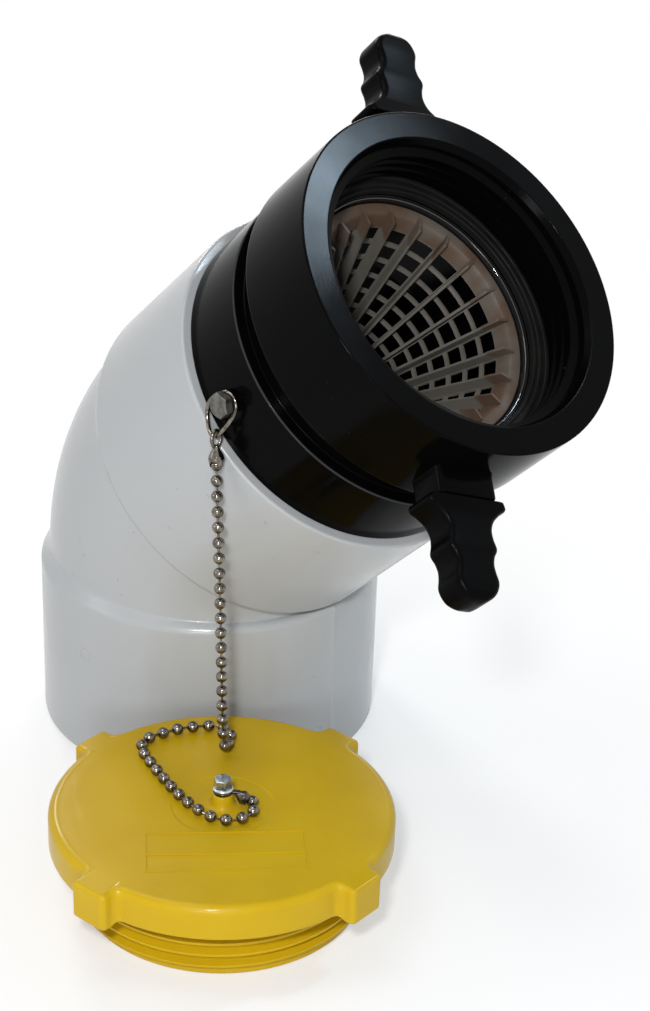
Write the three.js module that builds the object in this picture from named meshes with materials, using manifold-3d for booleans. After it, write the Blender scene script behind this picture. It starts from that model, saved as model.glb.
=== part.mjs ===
// Suction head for a dry hydrant: a 45 degree plastic pipe elbow, an adapter tail glued
// into its upper hub, a free-turning female threaded swivel with two grips, a snap-in
// basket strainer, and a threaded plug that hangs on a ball chain.
// Millimetres, +Z up. The pipe socket opens down at z = 0 and the outlet leans to +X.
import * as THREE from 'three';
import { mergeVertices } from 'three/addons/utils/BufferGeometryUtils.js';
import Module from 'manifold-3d';

const wasm = await Module();
wasm.setup();

// ---------------------------------------------------------------- driving dimensions
const SEG = 30; // facets round every large round piece
const SEAT = 0.3; // gap left between two pieces that are seated on each other
const RUN = 0.5; // radial running clearance of the swivel on the tail

// elbow
const BEND_DEG = 45;
const BEND_R = 92; // centreline radius of the bend
const HUB_LOW = 93.9; // length of the lower hub
const HUB_UP = 89.5; // length of the upper hub
const HUB_WALL = 6.9;
const BODY_WALL = 9.6; // wall of the bend between the hubs
const PIPE_R = 84.15; // outside radius of the pipe that the hubs take
const PIPE_FIT = 0.25;
const SOCKET_DEPTH = 75;
const SOCKET_STOP = 7.4; // step at the end of a socket, down to the passage
const EDGE = 1.2; // chamfer on hub ends

// adapter tail, measured from the upper hub's end face
const COLLAR_STEP = 6.1; // collar over the groove's floor
const COLLAR_LEN = 39.4;
const SPIGOT_WALL = 8;
const SPIGOT_GAP = 0.7; // end of the spigot short of the socket's stop
const GROOVE_STEP = 2.8; // groove's floor over the nose
const GROOVE_LEN = 14.4;
const NOSE_OVER = 4.4; // nose over the hose thread's major radius
const NOSE_WALL = 14.7;
const NOSE_LEN = 13.2;
const LEDGE_W = 2.8; // ledge that the strainer's rim sits on
const SEAT_DEPTH = 8; // that ledge below the nose's end face

// swivel ring
const RING_WALL = 15.8; // outside of the ring over the thread's major radius
const RING_LEN = 49.1;
const RING_GAP = 0.7; // axial gap between the ring and the tail's shoulder
const RACE_FROM_REAR = 6.1;
const BALL_R = 3.2;
const BALLS = 12;
const THREAD_R = 73.3; // major radius of the female thread
const THREAD_PITCH = 6.35; // 4 threads per inch
const THREAD_DEPTH = 3.7;
const THREAD_FIT = 0.4; // the plug's thread is this much smaller in radius
const MOUTH_STEP = 2; // flare of the mouth over the thread
const MOUTH_DEPTH = 3.6;
const GASKET_T = 4;
const GASKET_W = 9.4;
const POCKET_STEP = 1.7; // gasket's pocket over the thread

// grips
const GRIP_ANGLE = 152; // about the outlet axis
const GRIP_T = 18.5;
const GRIP_LONG = 51; // from the boss to the tip
const GRIP_FROM_REAR = 8.9;
const BOSS_HALF = 16;
const BOSS_OUT = 11.9; // boss over the ring
const BOSS_T = 22.5;
const PEG_R = 5.7;
const PEG_LEN = 11;

// filler screw of the ball race
const FILLER_R = 3.6;
const FILLER_ANGLE = 100;

// tether screw in the tail's collar
const TETHER_S = 17.5; // from the hub's end face
const TETHER_ANGLE = 266;
const TETHER_SHANK_R = 4;
const TETHER_AF = 13;
const TETHER_HEAD_T = 5;
const TETHER_STAND = 4.6; // bare shank between collar and head
const TETHER_DEPTH = 9.5;

// strainer
const FINS = 21;
const FIN_PHASE = 89.3;
const FIN_T = 1.8;
const FIN_H = 3.8;
const CONE_SLOPE = 0.442;
const CONE_IN = 5.1; // outside of the cone just below the rim, in from the ledge's edge
const WALL = 1.8;
const RIM_T = 4.6;
const RIM_BAND = 4; // plain band between the rim and the first windows
const BASKET_DEPTH = 86.9;
const WINDOW_ROWS = 4;
const HOOP = 3;

// plug
const LUG_OUT = 8.2; // lug over the flange
const LUG_W = 21;
const LUG_DROP = 2.5; // lug below the flange
const LUG_PHASE = 3;
const LUGS = 4;
const FLANGE_OUT = 11.4; // flange over the male thread
const PLUG_TOP = 49.2;
const FLANGE_UNDER = 31;
const PLUG_WALL = 7.2;
const PLUG_DECK = 6;
const PLUG_ANGLE = -43; // direction of the plug from the elbow's pipe axis
const PLUG_GAP = 0.8; // between a lug and the lower hub
const BOSS_H = 7;
const BOSS_TOP_R = 5;
const LABEL_L = 75;
const LABEL_W = 30.4;
const LABEL_SPLIT = 16.8;
const LABEL_OUT = 38.7; // centre of the label frame from the plug's axis
const LABEL_DEEP = 0.4;

// plug screw
const SCREW_R = 2.4;
const SCREW_AF = 8;
const SCREW_HEAD_T = 5;
const SCREW_FLANGE_R = 5.1;
const SCREW_FLANGE_T = 1.2;
const EYE_T = 1.6; // thickness of the chain's eye under the screw head
const NUT_AF = 8;
const NUT_T = 4;

// chain, drawn as the tube that its balls fill
const CHAIN_R = 3;
const WIRE_R = 1;

// ---------------------------------------------------------------- derived places
const BEND = THREE.MathUtils.degToRad(BEND_DEG);
const TANGENT = BEND_R * Math.tan(BEND / 2);
const CORNER_Z = HUB_LOW + TANGENT;
const HUB_END = TANGENT + HUB_UP; // along the outlet axis from the corner
const SOCKET_R = PIPE_R + PIPE_FIT;
const HUB_R = SOCKET_R + HUB_WALL;
const PASSAGE_R = SOCKET_R - SOCKET_STOP;
const BODY_R = PASSAGE_R + BODY_WALL;
const SPIGOT_BORE_R = SOCKET_R - SEAT - 0.1 - SPIGOT_WALL;
const NOSE_R = THREAD_R + NOSE_OVER;
const GROOVE_R = NOSE_R + GROOVE_STEP;
const COLLAR_R = GROOVE_R + COLLAR_STEP;
const SEAT_BORE_R = NOSE_R - NOSE_WALL;
const LEDGE_R = SEAT_BORE_R - LEDGE_W;
const COLLAR_END = HUB_END + SEAT + COLLAR_LEN;
const SHOULDER = COLLAR_END + GROOVE_LEN;
const NOSE_END = SHOULDER + NOSE_LEN;
const RING_R = THREAD_R + RING_WALL;
const RING_REAR = SHOULDER + RING_GAP;
const RING_FRONT = RING_REAR + RING_LEN;
const RING_BORE_R = NOSE_R + RUN + SEAT;
const MOUTH_R = THREAD_R + MOUTH_STEP;
const GASKET_POCKET_R = THREAD_R + POCKET_STEP;
const BOSS_R = RING_R + BOSS_OUT;
const GRIP_REACH = BOSS_R + GRIP_LONG; // tip of a grip from the outlet axis
const RACE_S = RING_REAR + RACE_FROM_REAR;
const BALL_CIRCLE = NOSE_R + 0.4;
const LEDGE_S = NOSE_END - SEAT_DEPTH;
const GASKET_S = NOSE_END + SEAT + 0.1;
const GRIP_S = RING_REAR + GRIP_FROM_REAR;
const RIM_TOP = LEDGE_S + SEAT + RIM_T;
const CONE_TOP = LEDGE_S + SEAT - 3;
const BASKET_END = RIM_TOP - BASKET_DEPTH;
const CONE_R = LEDGE_R - CONE_IN;
const MALE_R = THREAD_R - THREAD_FIT;
const PLUG_R = MALE_R + FLANGE_OUT;
const LUG_REACH = PLUG_R + LUG_OUT;
const PLUG_AWAY = HUB_R + LUG_REACH + PLUG_GAP;
const PLUG_X = PLUG_AWAY * Math.cos(THREE.MathUtils.degToRad(PLUG_ANGLE));
const PLUG_Y = PLUG_AWAY * Math.sin(THREE.MathUtils.degToRad(PLUG_ANGLE));

// ---------------------------------------------------------------- materials
function paint(color, roughness, metalness) {
  return new THREE.MeshStandardMaterial({ color, roughness, metalness });
}
const WHITE_PLASTIC = paint(0xcdd2d6, 0.45, 0);
const BLACK_METAL = paint(0x101114, 0.38, 0.6);
const YELLOW_PLASTIC = paint(0xd6b21c, 0.4, 0);
const NICKEL = paint(0xa9a29a, 0.25, 1);
const ZINC = paint(0xb4bcc0, 0.35, 1);
const DARK_METAL = paint(0x24211f, 0.4, 1);
const BEIGE_PLASTIC = paint(0xb3a492, 0.6, 0);
const RUBBER = paint(0x161616, 0.8, 0);

// ---------------------------------------------------------------- helpers
function signedVolume(position, index) {
  const a = new THREE.Vector3();
  const b = new THREE.Vector3();
  const c = new THREE.Vector3();
  let sum = 0;
  for (let i = 0; i < index.length; i += 3) {
    a.fromBufferAttribute(position, index[i]);
    b.fromBufferAttribute(position, index[i + 1]);
    c.fromBufferAttribute(position, index[i + 2]);
    sum += a.dot(b.cross(c)) / 6;
  }
  return sum;
}

// closed indexed mesh, vertices merged, slivers dropped, faces pointing out
function clean(geometry) {
  const bare = geometry.clone();
  for (const name of ['normal', 'uv']) bare.deleteAttribute(name);
  const merged = mergeVertices(bare, 1e-4);
  const source = merged.index.array;
  const kept = [];
  for (let i = 0; i < source.length; i += 3) {
    const [a, b, c] = [source[i], source[i + 1], source[i + 2]];
    if (a !== b && b !== c && c !== a) kept.push(a, b, c);
  }
  if (signedVolume(merged.attributes.position, kept) < 0) kept.reverse();
  merged.setIndex(kept);
  return merged;
}

function solid(geometry) {
  const g = clean(geometry);
  const vertProperties = new Float32Array(g.attributes.position.array);
  const triVerts = new Uint32Array(g.index.array);
  return new wasm.Manifold(new wasm.Mesh({ numProp: 3, vertProperties, triVerts }));
}

function toGeometry(manifold) {
  const m = manifold.getMesh();
  const g = new THREE.BufferGeometry();
  g.setAttribute('position', new THREE.BufferAttribute(new Float32Array(m.vertProperties), 3));
  g.setIndex([...m.triVerts]);
  g.computeVertexNormals();
  return g;
}

function named(name, shape, material, parent) {
  const geometry = shape.isBufferGeometry ? clean(shape) : toGeometry(shape);
  geometry.computeVertexNormals();
  const mesh = new THREE.Mesh(geometry, material);
  mesh.name = name;
  parent.add(mesh);
  return mesh;
}

// profile of [radius, height] turned about Z
function turned(profile, segments = SEG, startDeg = 0) {
  const points = profile.map(([r, z]) => new THREE.Vector2(r, z));
  points.push(points[0].clone());
  const start = THREE.MathUtils.degToRad(startDeg + 90);
  return new THREE.LatheGeometry(points, segments, start, Math.PI * 2).rotateX(Math.PI / 2);
}

// skin over rows of points, each row a closed outline; rows close on themselves or get caps
function skin(rows, closed) {
  const n = rows[0].length;
  const count = rows.length;
  const index = [];
  for (let i = 0; i < (closed ? count : count - 1); i++) {
    const j = (i + 1) % count;
    for (let k = 0; k < n; k++) {
      const l = (k + 1) % n;
      index.push(i * n + k, j * n + k, j * n + l, i * n + k, j * n + l, i * n + l);
    }
  }
  for (let k = 1; k < n - 1 && !closed; k++) {
    const e = (count - 1) * n;
    index.push(0, k, k + 1, e, e + k + 1, e + k);
  }
  const flat = rows.flat().flatMap((p) => [p.x, p.y, p.z]);
  const g = new THREE.BufferGeometry();
  g.setAttribute('position', new THREE.Float32BufferAttribute(flat, 3));
  g.setIndex(index);
  return g;
}

// helical ridge of trapezoid section about Z
function ridge(rootR, crestR, z0, turns) {
  const rows = [];
  const steps = Math.round(turns * SEG);
  for (let i = 0; i <= steps; i++) {
    const a = (i * Math.PI * 2) / SEG;
    const z = z0 + (i * THREAD_PITCH) / SEG;
    const at = (r, dz) => new THREE.Vector3(r * Math.cos(a), r * Math.sin(a), z + dz);
    const half = THREAD_PITCH * 0.37;
    const tip = THREAD_PITCH * 0.12;
    rows.push([at(rootR, -half), at(crestR, -tip), at(crestR, tip), at(rootR, half)]);
  }
  return skin(rows, false);
}

// drum whose axis points away from Z at a height z, from radius r0 to r1
function radial(r, r0, r1, z, angleDeg, sides = 12) {
  const g = new THREE.CylinderGeometry(r, r, r1 - r0, sides);
  g.rotateZ(-Math.PI / 2);
  g.translate((r0 + r1) / 2, 0, 0);
  g.rotateZ(THREE.MathUtils.degToRad(angleDeg));
  g.translate(0, 0, z);
  return g;
}

function upright(r, z0, z1, sides, turn = 0) {
  const g = new THREE.CylinderGeometry(r, r, z1 - z0, sides);
  g.rotateX(Math.PI / 2);
  g.rotateZ(turn);
  g.translate(0, 0, (z0 + z1) / 2);
  return g;
}

function polygonSolid(points, depth) {
  const shape = new THREE.Shape(points.map(([x, y]) => new THREE.Vector2(x, y)));
  return new THREE.ExtrudeGeometry(shape, { depth, steps: 1, bevelEnabled: false });
}

function roundSection(radius, sides) {
  const points = [];
  for (let k = 0; k < sides; k++) {
    const a = ((k + 0.5) * Math.PI * 2) / sides;
    points.push(new THREE.Vector2(radius * Math.cos(a), radius * Math.sin(a)));
  }
  return new THREE.Shape(points);
}

function tube(curve, radius, sides, steps) {
  const settings = { steps, bevelEnabled: false, extrudePath: curve };
  return new THREE.ExtrudeGeometry(roundSection(radius, sides), settings);
}

function curveThrough(points) {
  const list = points.map(([x, y, z]) => new THREE.Vector3(x, y, z));
  return new THREE.CatmullRomCurve3(list, false, 'centripetal');
}

// ---------------------------------------------------------------- elbow
function ringAt(kind, along, radius) {
  const tilt = kind === 'low' ? 0 : kind === 'up' ? BEND : THREE.MathUtils.degToRad(along);
  const c = new THREE.Vector3(0, 0, along);
  if (kind === 'bend') {
    c.set(BEND_R * (1 - Math.cos(tilt)), 0, HUB_LOW + BEND_R * Math.sin(tilt));
  }
  if (kind === 'up') {
    c.set(along * Math.sin(BEND), 0, CORNER_Z + along * Math.cos(BEND));
  }
  const row = [];
  for (let k = 0; k < SEG; k++) {
    const a = (k * Math.PI * 2) / SEG;
    const x = radius * Math.cos(a);
    const at = new THREE.Vector3(x * Math.cos(tilt), radius * Math.sin(a), -x * Math.sin(tilt));
    row.push(at.add(c));
  }
  return row;
}

function elbowOutside() {
  const step = HUB_R - BODY_R;
  const rows = [
    ringAt('low', 0, HUB_R - EDGE),
    ringAt('low', EDGE, HUB_R),
    ringAt('low', HUB_LOW - 4, HUB_R),
    ringAt('bend', 0, HUB_R - step * 0.2),
    ringAt('bend', BEND_DEG * 0.03, HUB_R - step * 0.5),
    ringAt('bend', BEND_DEG * 0.07, BODY_R),
  ];
  for (const share of [0.29, 0.5, 0.71, 0.93]) {
    rows.push(ringAt('bend', BEND_DEG * share, BODY_R));
  }
  rows.push(ringAt('bend', BEND_DEG * 0.97, HUB_R - step * 0.5));
  rows.push(ringAt('bend', BEND_DEG, HUB_R - step * 0.2));
  rows.push(ringAt('up', TANGENT + 4, HUB_R));
  rows.push(ringAt('up', HUB_END - EDGE, HUB_R));
  rows.push(ringAt('up', HUB_END, HUB_R - EDGE));
  return rows;
}

function elbowInside() {
  const rows = [
    ringAt('up', HUB_END, SOCKET_R + EDGE),
    ringAt('up', HUB_END - EDGE, SOCKET_R),
    ringAt('up', HUB_END - SOCKET_DEPTH, SOCKET_R),
    ringAt('up', HUB_END - SOCKET_DEPTH, PASSAGE_R),
  ];
  for (const share of [1, 0.75, 0.5, 0.25, 0]) {
    rows.push(ringAt('bend', BEND_DEG * share, PASSAGE_R));
  }
  rows.push(ringAt('low', SOCKET_DEPTH, PASSAGE_R));
  rows.push(ringAt('low', SOCKET_DEPTH, SOCKET_R));
  rows.push(ringAt('low', EDGE, SOCKET_R));
  rows.push(ringAt('low', 0, SOCKET_R + EDGE));
  return rows;
}

// ---------------------------------------------------------------- adapter tail
function raceGroove(wallR, depthR) {
  const w = BALL_R + 0.4;
  return [
    [wallR, RACE_S - w],
    [depthR, RACE_S - w * 0.55],
    [depthR, RACE_S + w * 0.55],
    [wallR, RACE_S + w],
  ];
}

function tailSolid() {
  const start = HUB_END - SOCKET_DEPTH + SPIGOT_GAP;
  const collar = HUB_END + SEAT;
  const spigotR = SOCKET_R - SEAT - 0.1;
  const body = turned([
    [spigotR - EDGE, start],
    [spigotR, start + EDGE],
    [spigotR, collar],
    [COLLAR_R, collar],
    [COLLAR_R, COLLAR_END - 0.6],
    [COLLAR_R - 0.6, COLLAR_END],
    [GROOVE_R, COLLAR_END],
    [GROOVE_R, SHOULDER],
    [NOSE_R, SHOULDER],
    ...raceGroove(NOSE_R, BALL_CIRCLE - BALL_R - SEAT - 0.1),
    [NOSE_R, NOSE_END - 0.8],
    [NOSE_R - 0.8, NOSE_END],
    [SEAT_BORE_R, NOSE_END],
    [SEAT_BORE_R, LEDGE_S],
    [LEDGE_R, LEDGE_S],
    [LEDGE_R, LEDGE_S - 6],
    [SPIGOT_BORE_R, HUB_END + 2],
    [SPIGOT_BORE_R, start],
  ]);
  const s = HUB_END + TETHER_S;
  const deep = COLLAR_R - TETHER_DEPTH - 0.6;
  const hole = radial(TETHER_SHANK_R + SEAT, deep, COLLAR_R + 5, s, TETHER_ANGLE);
  return solid(body).subtract(solid(hole));
}

function hexHead(flats, r0, r1, z, angleDeg) {
  return radial(flats / Math.sqrt(3), r0, r1, z, angleDeg, 6);
}

function tetherScrew() {
  const s = HUB_END + TETHER_S;
  const under = COLLAR_R + TETHER_STAND;
  const shank = radial(TETHER_SHANK_R, COLLAR_R - TETHER_DEPTH, under + 1, s, TETHER_ANGLE);
  const head = hexHead(TETHER_AF, under, under + TETHER_HEAD_T, s, TETHER_ANGLE);
  return solid(shank).add(solid(head));
}

function ball(k) {
  const a = ((k + 0.5) * Math.PI * 2) / BALLS;
  const g = new THREE.OctahedronGeometry(BALL_R, 1);
  g.translate(BALL_CIRCLE * Math.cos(a), BALL_CIRCLE * Math.sin(a), RACE_S);
  return g;
}

// ---------------------------------------------------------------- swivel
function ringBody() {
  return turned([
    [RING_BORE_R, RING_REAR],
    [RING_R - 0.8, RING_REAR],
    [RING_R, RING_REAR + 0.8],
    [RING_R, RING_FRONT - 0.6],
    [RING_R - 0.6, RING_FRONT],
    [MOUTH_R, RING_FRONT],
    [THREAD_R, RING_FRONT - MOUTH_DEPTH],
    [THREAD_R, GASKET_S + GASKET_T + 1.8],
    [GASKET_POCKET_R, GASKET_S + GASKET_T + 0.8],
    [GASKET_POCKET_R, NOSE_END + SEAT],
    [RING_BORE_R, NOSE_END + SEAT],
    ...raceGroove(RING_BORE_R, BALL_CIRCLE + BALL_R + 0.9).reverse(),
  ]);
}

// box on the ring that carries a grip
function gripBoss(angleDeg) {
  const inner = RING_R - 4;
  const g = new THREE.BoxGeometry(BOSS_R - inner, BOSS_HALF * 2, BOSS_T);
  g.translate((BOSS_R + inner) / 2, 0, GRIP_S + GRIP_T / 2);
  return g.rotateZ(THREE.MathUtils.degToRad(angleDeg));
}

function swivelRing() {
  const z0 = GASKET_S + GASKET_T + 4.5;
  const turns = (RING_FRONT - MOUTH_DEPTH - 1 - z0) / THREAD_PITCH;
  let ring = solid(ringBody());
  ring = ring.add(solid(ridge(THREAD_R + 0.8, THREAD_R - THREAD_DEPTH, z0, turns)));
  for (const angle of [GRIP_ANGLE, GRIP_ANGLE + 180]) {
    ring = ring.add(solid(gripBoss(angle)));
    const from = BOSS_R - PEG_LEN - 0.6;
    const socket = radial(PEG_R + SEAT, from, BOSS_R + 3, GRIP_S + GRIP_T / 2, angle);
    ring = ring.subtract(solid(socket));
  }
  const way = radial(FILLER_R, RING_BORE_R, RING_R + 3, RACE_S, FILLER_ANGLE);
  return ring.subtract(solid(way));
}

// half widths of a grip against distance from its base, as seen along the outlet axis
const GRIP_OUTLINE = [
  [0, 20.2], [0.06, 20.8], [0.12, 17.4], [0.2, 13.9], [0.29, 12.3], [0.38, 12.7],
  [0.475, 13.9], [0.55, 11.9], [0.63, 10.9], [0.71, 11.3], [0.8, 12.2], [0.88, 10.8],
  [0.945, 8], [0.985, 4.2],
];

function grip(angleDeg) {
  const base = BOSS_R + SEAT;
  const long = GRIP_REACH - base;
  const right = GRIP_OUTLINE.map(([t, w]) => [base + t * long, -w]);
  const left = GRIP_OUTLINE.map(([t, w]) => [base + t * long, w]).reverse();
  const plate = polygonSolid([...right, [GRIP_REACH, 0], ...left], GRIP_T);
  plate.translate(0, 0, GRIP_S);
  plate.rotateZ(THREE.MathUtils.degToRad(angleDeg));
  const mid = GRIP_S + GRIP_T / 2;
  const peg = radial(PEG_R, BOSS_R - PEG_LEN, base + 4, mid, angleDeg);
  return solid(plate).add(solid(peg));
}

function gasket() {
  const outer = GASKET_POCKET_R - SEAT - 0.3;
  const inner = outer - GASKET_W;
  return turned([
    [inner, GASKET_S],
    [outer, GASKET_S],
    [outer, GASKET_S + GASKET_T],
    [inner, GASKET_S + GASKET_T],
  ]);
}

function fillerScrew() {
  const from = BALL_CIRCLE + BALL_R + 1.2;
  const screw = radial(FILLER_R - SEAT, from, RING_R - 1, RACE_S, FILLER_ANGLE);
  const socket = radial(1.6, RING_R - 3.4, RING_R + 1, RACE_S, FILLER_ANGLE, 6);
  return solid(screw).subtract(solid(socket));
}

// ---------------------------------------------------------------- strainer
function coneR(s) {
  return CONE_R + CONE_SLOPE * (s - CONE_TOP);
}

function basketBody() {
  const rimR = SEAT_BORE_R - 0.4;
  const floor = coneR(BASKET_END);
  return turned([
    [0, BASKET_END],
    [floor, BASKET_END],
    [coneR(CONE_TOP), CONE_TOP],
    [LEDGE_R - 1, LEDGE_S + SEAT],
    [rimR, LEDGE_S + SEAT],
    [rimR, RIM_TOP],
    [rimR - 1.6, RIM_TOP],
    [coneR(CONE_TOP) - WALL + 0.6, CONE_TOP + 1.2],
    [floor - WALL + CONE_SLOPE * WALL, BASKET_END + WALL],
    [0, BASKET_END + WALL],
  ], FINS, FIN_PHASE);
}

// fin standing on the inside of the basket, in a plane through the axis
function fin(k) {
  const low = BASKET_END + WALL / 2;
  const edge = (s) => coneR(s) - WALL - FIN_H;
  const shape = polygonSolid([
    [coneR(low) - WALL / 2, low],
    [coneR(CONE_TOP) - WALL / 2, CONE_TOP],
    [SEAT_BORE_R - 1.6, LEDGE_S + SEAT + 1.4],
    [SEAT_BORE_R - 1.6, RIM_TOP - 0.4],
    [edge(RIM_TOP), RIM_TOP - 0.4],
    [edge(low), low],
  ], FIN_T);
  shape.translate(0, 0, -FIN_T / 2);
  shape.rotateX(Math.PI / 2);
  shape.rotateZ(THREE.MathUtils.degToRad(FIN_PHASE + (k * 360) / FINS));
  return shape;
}

// one window of the bay that follows fin k, between heights s0 and s1
function windowCutter(k, s0, s1) {
  const half = Math.PI / FINS;
  const rows = [s0, s1].map((s) => {
    const flat = coneR(s) * Math.cos(half);
    const w = coneR(s) * Math.sin(half) - FIN_T / 2 - 0.8;
    return [
      new THREE.Vector3(flat - WALL - 1.2, -w, s),
      new THREE.Vector3(flat + 2, -w, s),
      new THREE.Vector3(flat + 2, w, s),
      new THREE.Vector3(flat - WALL - 1.2, w, s),
    ];
  });
  const g = skin(rows, false);
  return g.rotateZ(THREE.MathUtils.degToRad(FIN_PHASE + ((k + 0.5) * 360) / FINS));
}

function strainer() {
  const top = CONE_TOP - RIM_BAND;
  const pitch = (top - BASKET_END - 2 * WALL) / WINDOW_ROWS;
  const cuts = [];
  const fins = [];
  for (let k = 0; k < FINS; k++) {
    fins.push(solid(fin(k)));
    for (let row = 0; row < WINDOW_ROWS; row++) {
      const s1 = top - row * pitch;
      cuts.push(solid(windowCutter(k, s1 - pitch + HOOP, s1)));
    }
  }
  const open = wasm.Manifold.union(cuts);
  return solid(basketBody()).subtract(open).add(wasm.Manifold.union(fins));
}

// ---------------------------------------------------------------- plug
function plugBody() {
  const core = MALE_R - THREAD_DEPTH;
  const inner = core - PLUG_WALL;
  const deck = PLUG_TOP - PLUG_DECK;
  const hole = SCREW_R + SEAT;
  const hub = BOSS_TOP_R + 6;
  return turned([
    [hole, PLUG_TOP + BOSS_H],
    [BOSS_TOP_R, PLUG_TOP + BOSS_H],
    [BOSS_TOP_R + 1.6, PLUG_TOP],
    [PLUG_R - 3.7, PLUG_TOP],
    [PLUG_R - 1.1, PLUG_TOP - 1.6],
    [PLUG_R, PLUG_TOP - 4.6],
    [PLUG_R, FLANGE_UNDER + 1.5],
    [PLUG_R - 1.5, FLANGE_UNDER],
    [core, FLANGE_UNDER],
    [core, EDGE],
    [core - EDGE, 0],
    [inner, 0],
    [inner, deck - 2],
    [inner - 2, deck],
    [hub, deck],
    [hub, deck - 5],
    [hole, deck - 5],
  ]);
}

function lug(k) {
  const w = LUG_W / 2;
  const inner = PLUG_R - 8;
  const block = polygonSolid([
    [inner, -w - 1.5],
    [PLUG_R - 0.5, -w - 1.5],
    [PLUG_R + 1.5, -w],
    [LUG_REACH - 1.2, -w],
    [LUG_REACH - 0.3, -w + 1.4],
    [LUG_REACH - 0.3, w - 1.4],
    [LUG_REACH - 1.2, w],
    [PLUG_R + 1.5, w],
    [PLUG_R - 0.5, w + 1.5],
    [inner, w + 1.5],
  ], PLUG_TOP - 1.2 - FLANGE_UNDER + LUG_DROP);
  block.translate(0, 0, FLANGE_UNDER - LUG_DROP);
  return block.rotateZ(THREE.MathUtils.degToRad(LUG_PHASE + (k * 360) / LUGS));
}

// shallow panel sunk in the plug's top, from x0 to x1 outward of the axis
function labelPanel(x0, x1) {
  const g = new THREE.BoxGeometry(x1 - x0, LABEL_L, 4);
  g.translate((x0 + x1) / 2, 0, PLUG_TOP + 2 - LABEL_DEEP);
  return g.rotateZ(THREE.MathUtils.degToRad(PLUG_ANGLE));
}

function plug() {
  const core = MALE_R - THREAD_DEPTH;
  const turns = (FLANGE_UNDER - 8) / THREAD_PITCH;
  let body = solid(plugBody()).add(solid(ridge(core - 0.8, MALE_R, 4.2, turns)));
  for (let k = 0; k < LUGS; k++) body = body.add(solid(lug(k)));
  const x0 = LABEL_OUT - LABEL_W / 2;
  body = body.subtract(solid(labelPanel(x0, x0 + LABEL_SPLIT - 0.4)));
  return body.subtract(solid(labelPanel(x0 + LABEL_SPLIT + 0.4, x0 + LABEL_W)));
}

function plugScrew() {
  const seat = PLUG_TOP + BOSS_H + 2 * SEAT + EYE_T;
  const top = seat + SCREW_FLANGE_T + SCREW_HEAD_T;
  const tip = PLUG_TOP - PLUG_DECK - 5 - NUT_T - 3;
  const shank = solid(upright(SCREW_R, tip, seat + 0.5, 12));
  const flange = solid(upright(SCREW_FLANGE_R, seat, seat + SCREW_FLANGE_T, 18));
  const head = solid(upright(SCREW_AF / Math.sqrt(3), seat + 0.5, top, 6, 0.3));
  return shank.add(flange).add(head);
}

function plugNut() {
  const top = PLUG_TOP - PLUG_DECK - 5 - SEAT;
  const nut = solid(upright(NUT_AF / Math.sqrt(3), top - NUT_T, top, 6));
  return nut.subtract(solid(upright(SCREW_R + SEAT, top - NUT_T - 1, top + 1, 12)));
}

// ---------------------------------------------------------------- chain and its ends
// wire link through which the tether screw passes, in the elbow's frame
const LINK_POINTS = [
  [98.2, -88.9, 244.5], [94.6, -88.9, 243.3], [90.6, -89.2, 240.2], [87.3, -89.8, 236.2],
  [86.5, -90.4, 231.6], [88.4, -91.8, 226.9], [91, -93.3, 223.9], [93.6, -94.2, 222.7],
  [96.4, -94.2, 223.1], [98.9, -93.4, 225.7], [102, -91.2, 231.2], [104, -90, 235.8],
  [104.2, -89.3, 239.8], [102, -88.9, 243.3],
];

// centre line of the chain from the upper coupling to the one under the plug's screw
const CHAIN_POINTS = [
  [98, -95.4, 208], [98.9, -95.5, 190], [101.3, -95.8, 150], [103.6, -96.1, 105],
  [105.2, -96.2, 68], [105.7, -95.6, 58], [104.7, -93.2, 53.7], [102.4, -89.3, 52.6],
  [98.7, -83.6, 52.6], [93.2, -79.9, 52.6], [86.6, -80.8, 52.6], [81.3, -86, 52.6],
  [77.1, -91.9, 52.6], [74.2, -97.6, 52.6], [72.2, -103.8, 52.6], [70.5, -110, 52.6],
  [70.3, -116.6, 52.6], [74.4, -122.4, 52.6], [81, -125.9, 52.6], [88, -128.6, 52.6],
  [96.2, -131.7, 52.6], [104.3, -134.4, 52.6], [111.9, -136.8, 52.6], [119.2, -138.7, 52.6],
  [126.8, -140.2, 52.6], [135.1, -140.9, 52.6], [143.4, -140.2, 52.6], [149.4, -137, 52.6],
  [152.8, -131.4, 52.6], [153.2, -125.6, 52.6], [151.8, -121, 52.6], [149.3, -118.5, 52.6],
  [147, -117.7, 53],
];

function linkWire() {
  return tube(curveThrough(LINK_POINTS), WIRE_R, 6, 28);
}

// bell that holds the chain's last ball, turned about Z, its mouth down at z = 0
function bell() {
  return turned([
    [0, 1.6], [1.9, 1.6], [2.5, 0], [3.5, 0], [3.9, 2.4], [3.6, 5], [2.2, 7.8], [0, 9.2],
  ], 12);
}

function topCoupling() {
  const eye = new THREE.TorusGeometry(2.9, 0.9, 6, 12);
  eye.rotateY(Math.PI / 2);
  eye.scale(1, 1, 1.4);
  eye.translate(0, 0, 13.6);
  const both = toGeometry(solid(bell()).add(solid(eye)));
  both.rotateY(THREE.MathUtils.degToRad(-6));
  both.rotateX(THREE.MathUtils.degToRad(-4));
  return both.translate(98, -95.4, 208.4);
}

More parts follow.
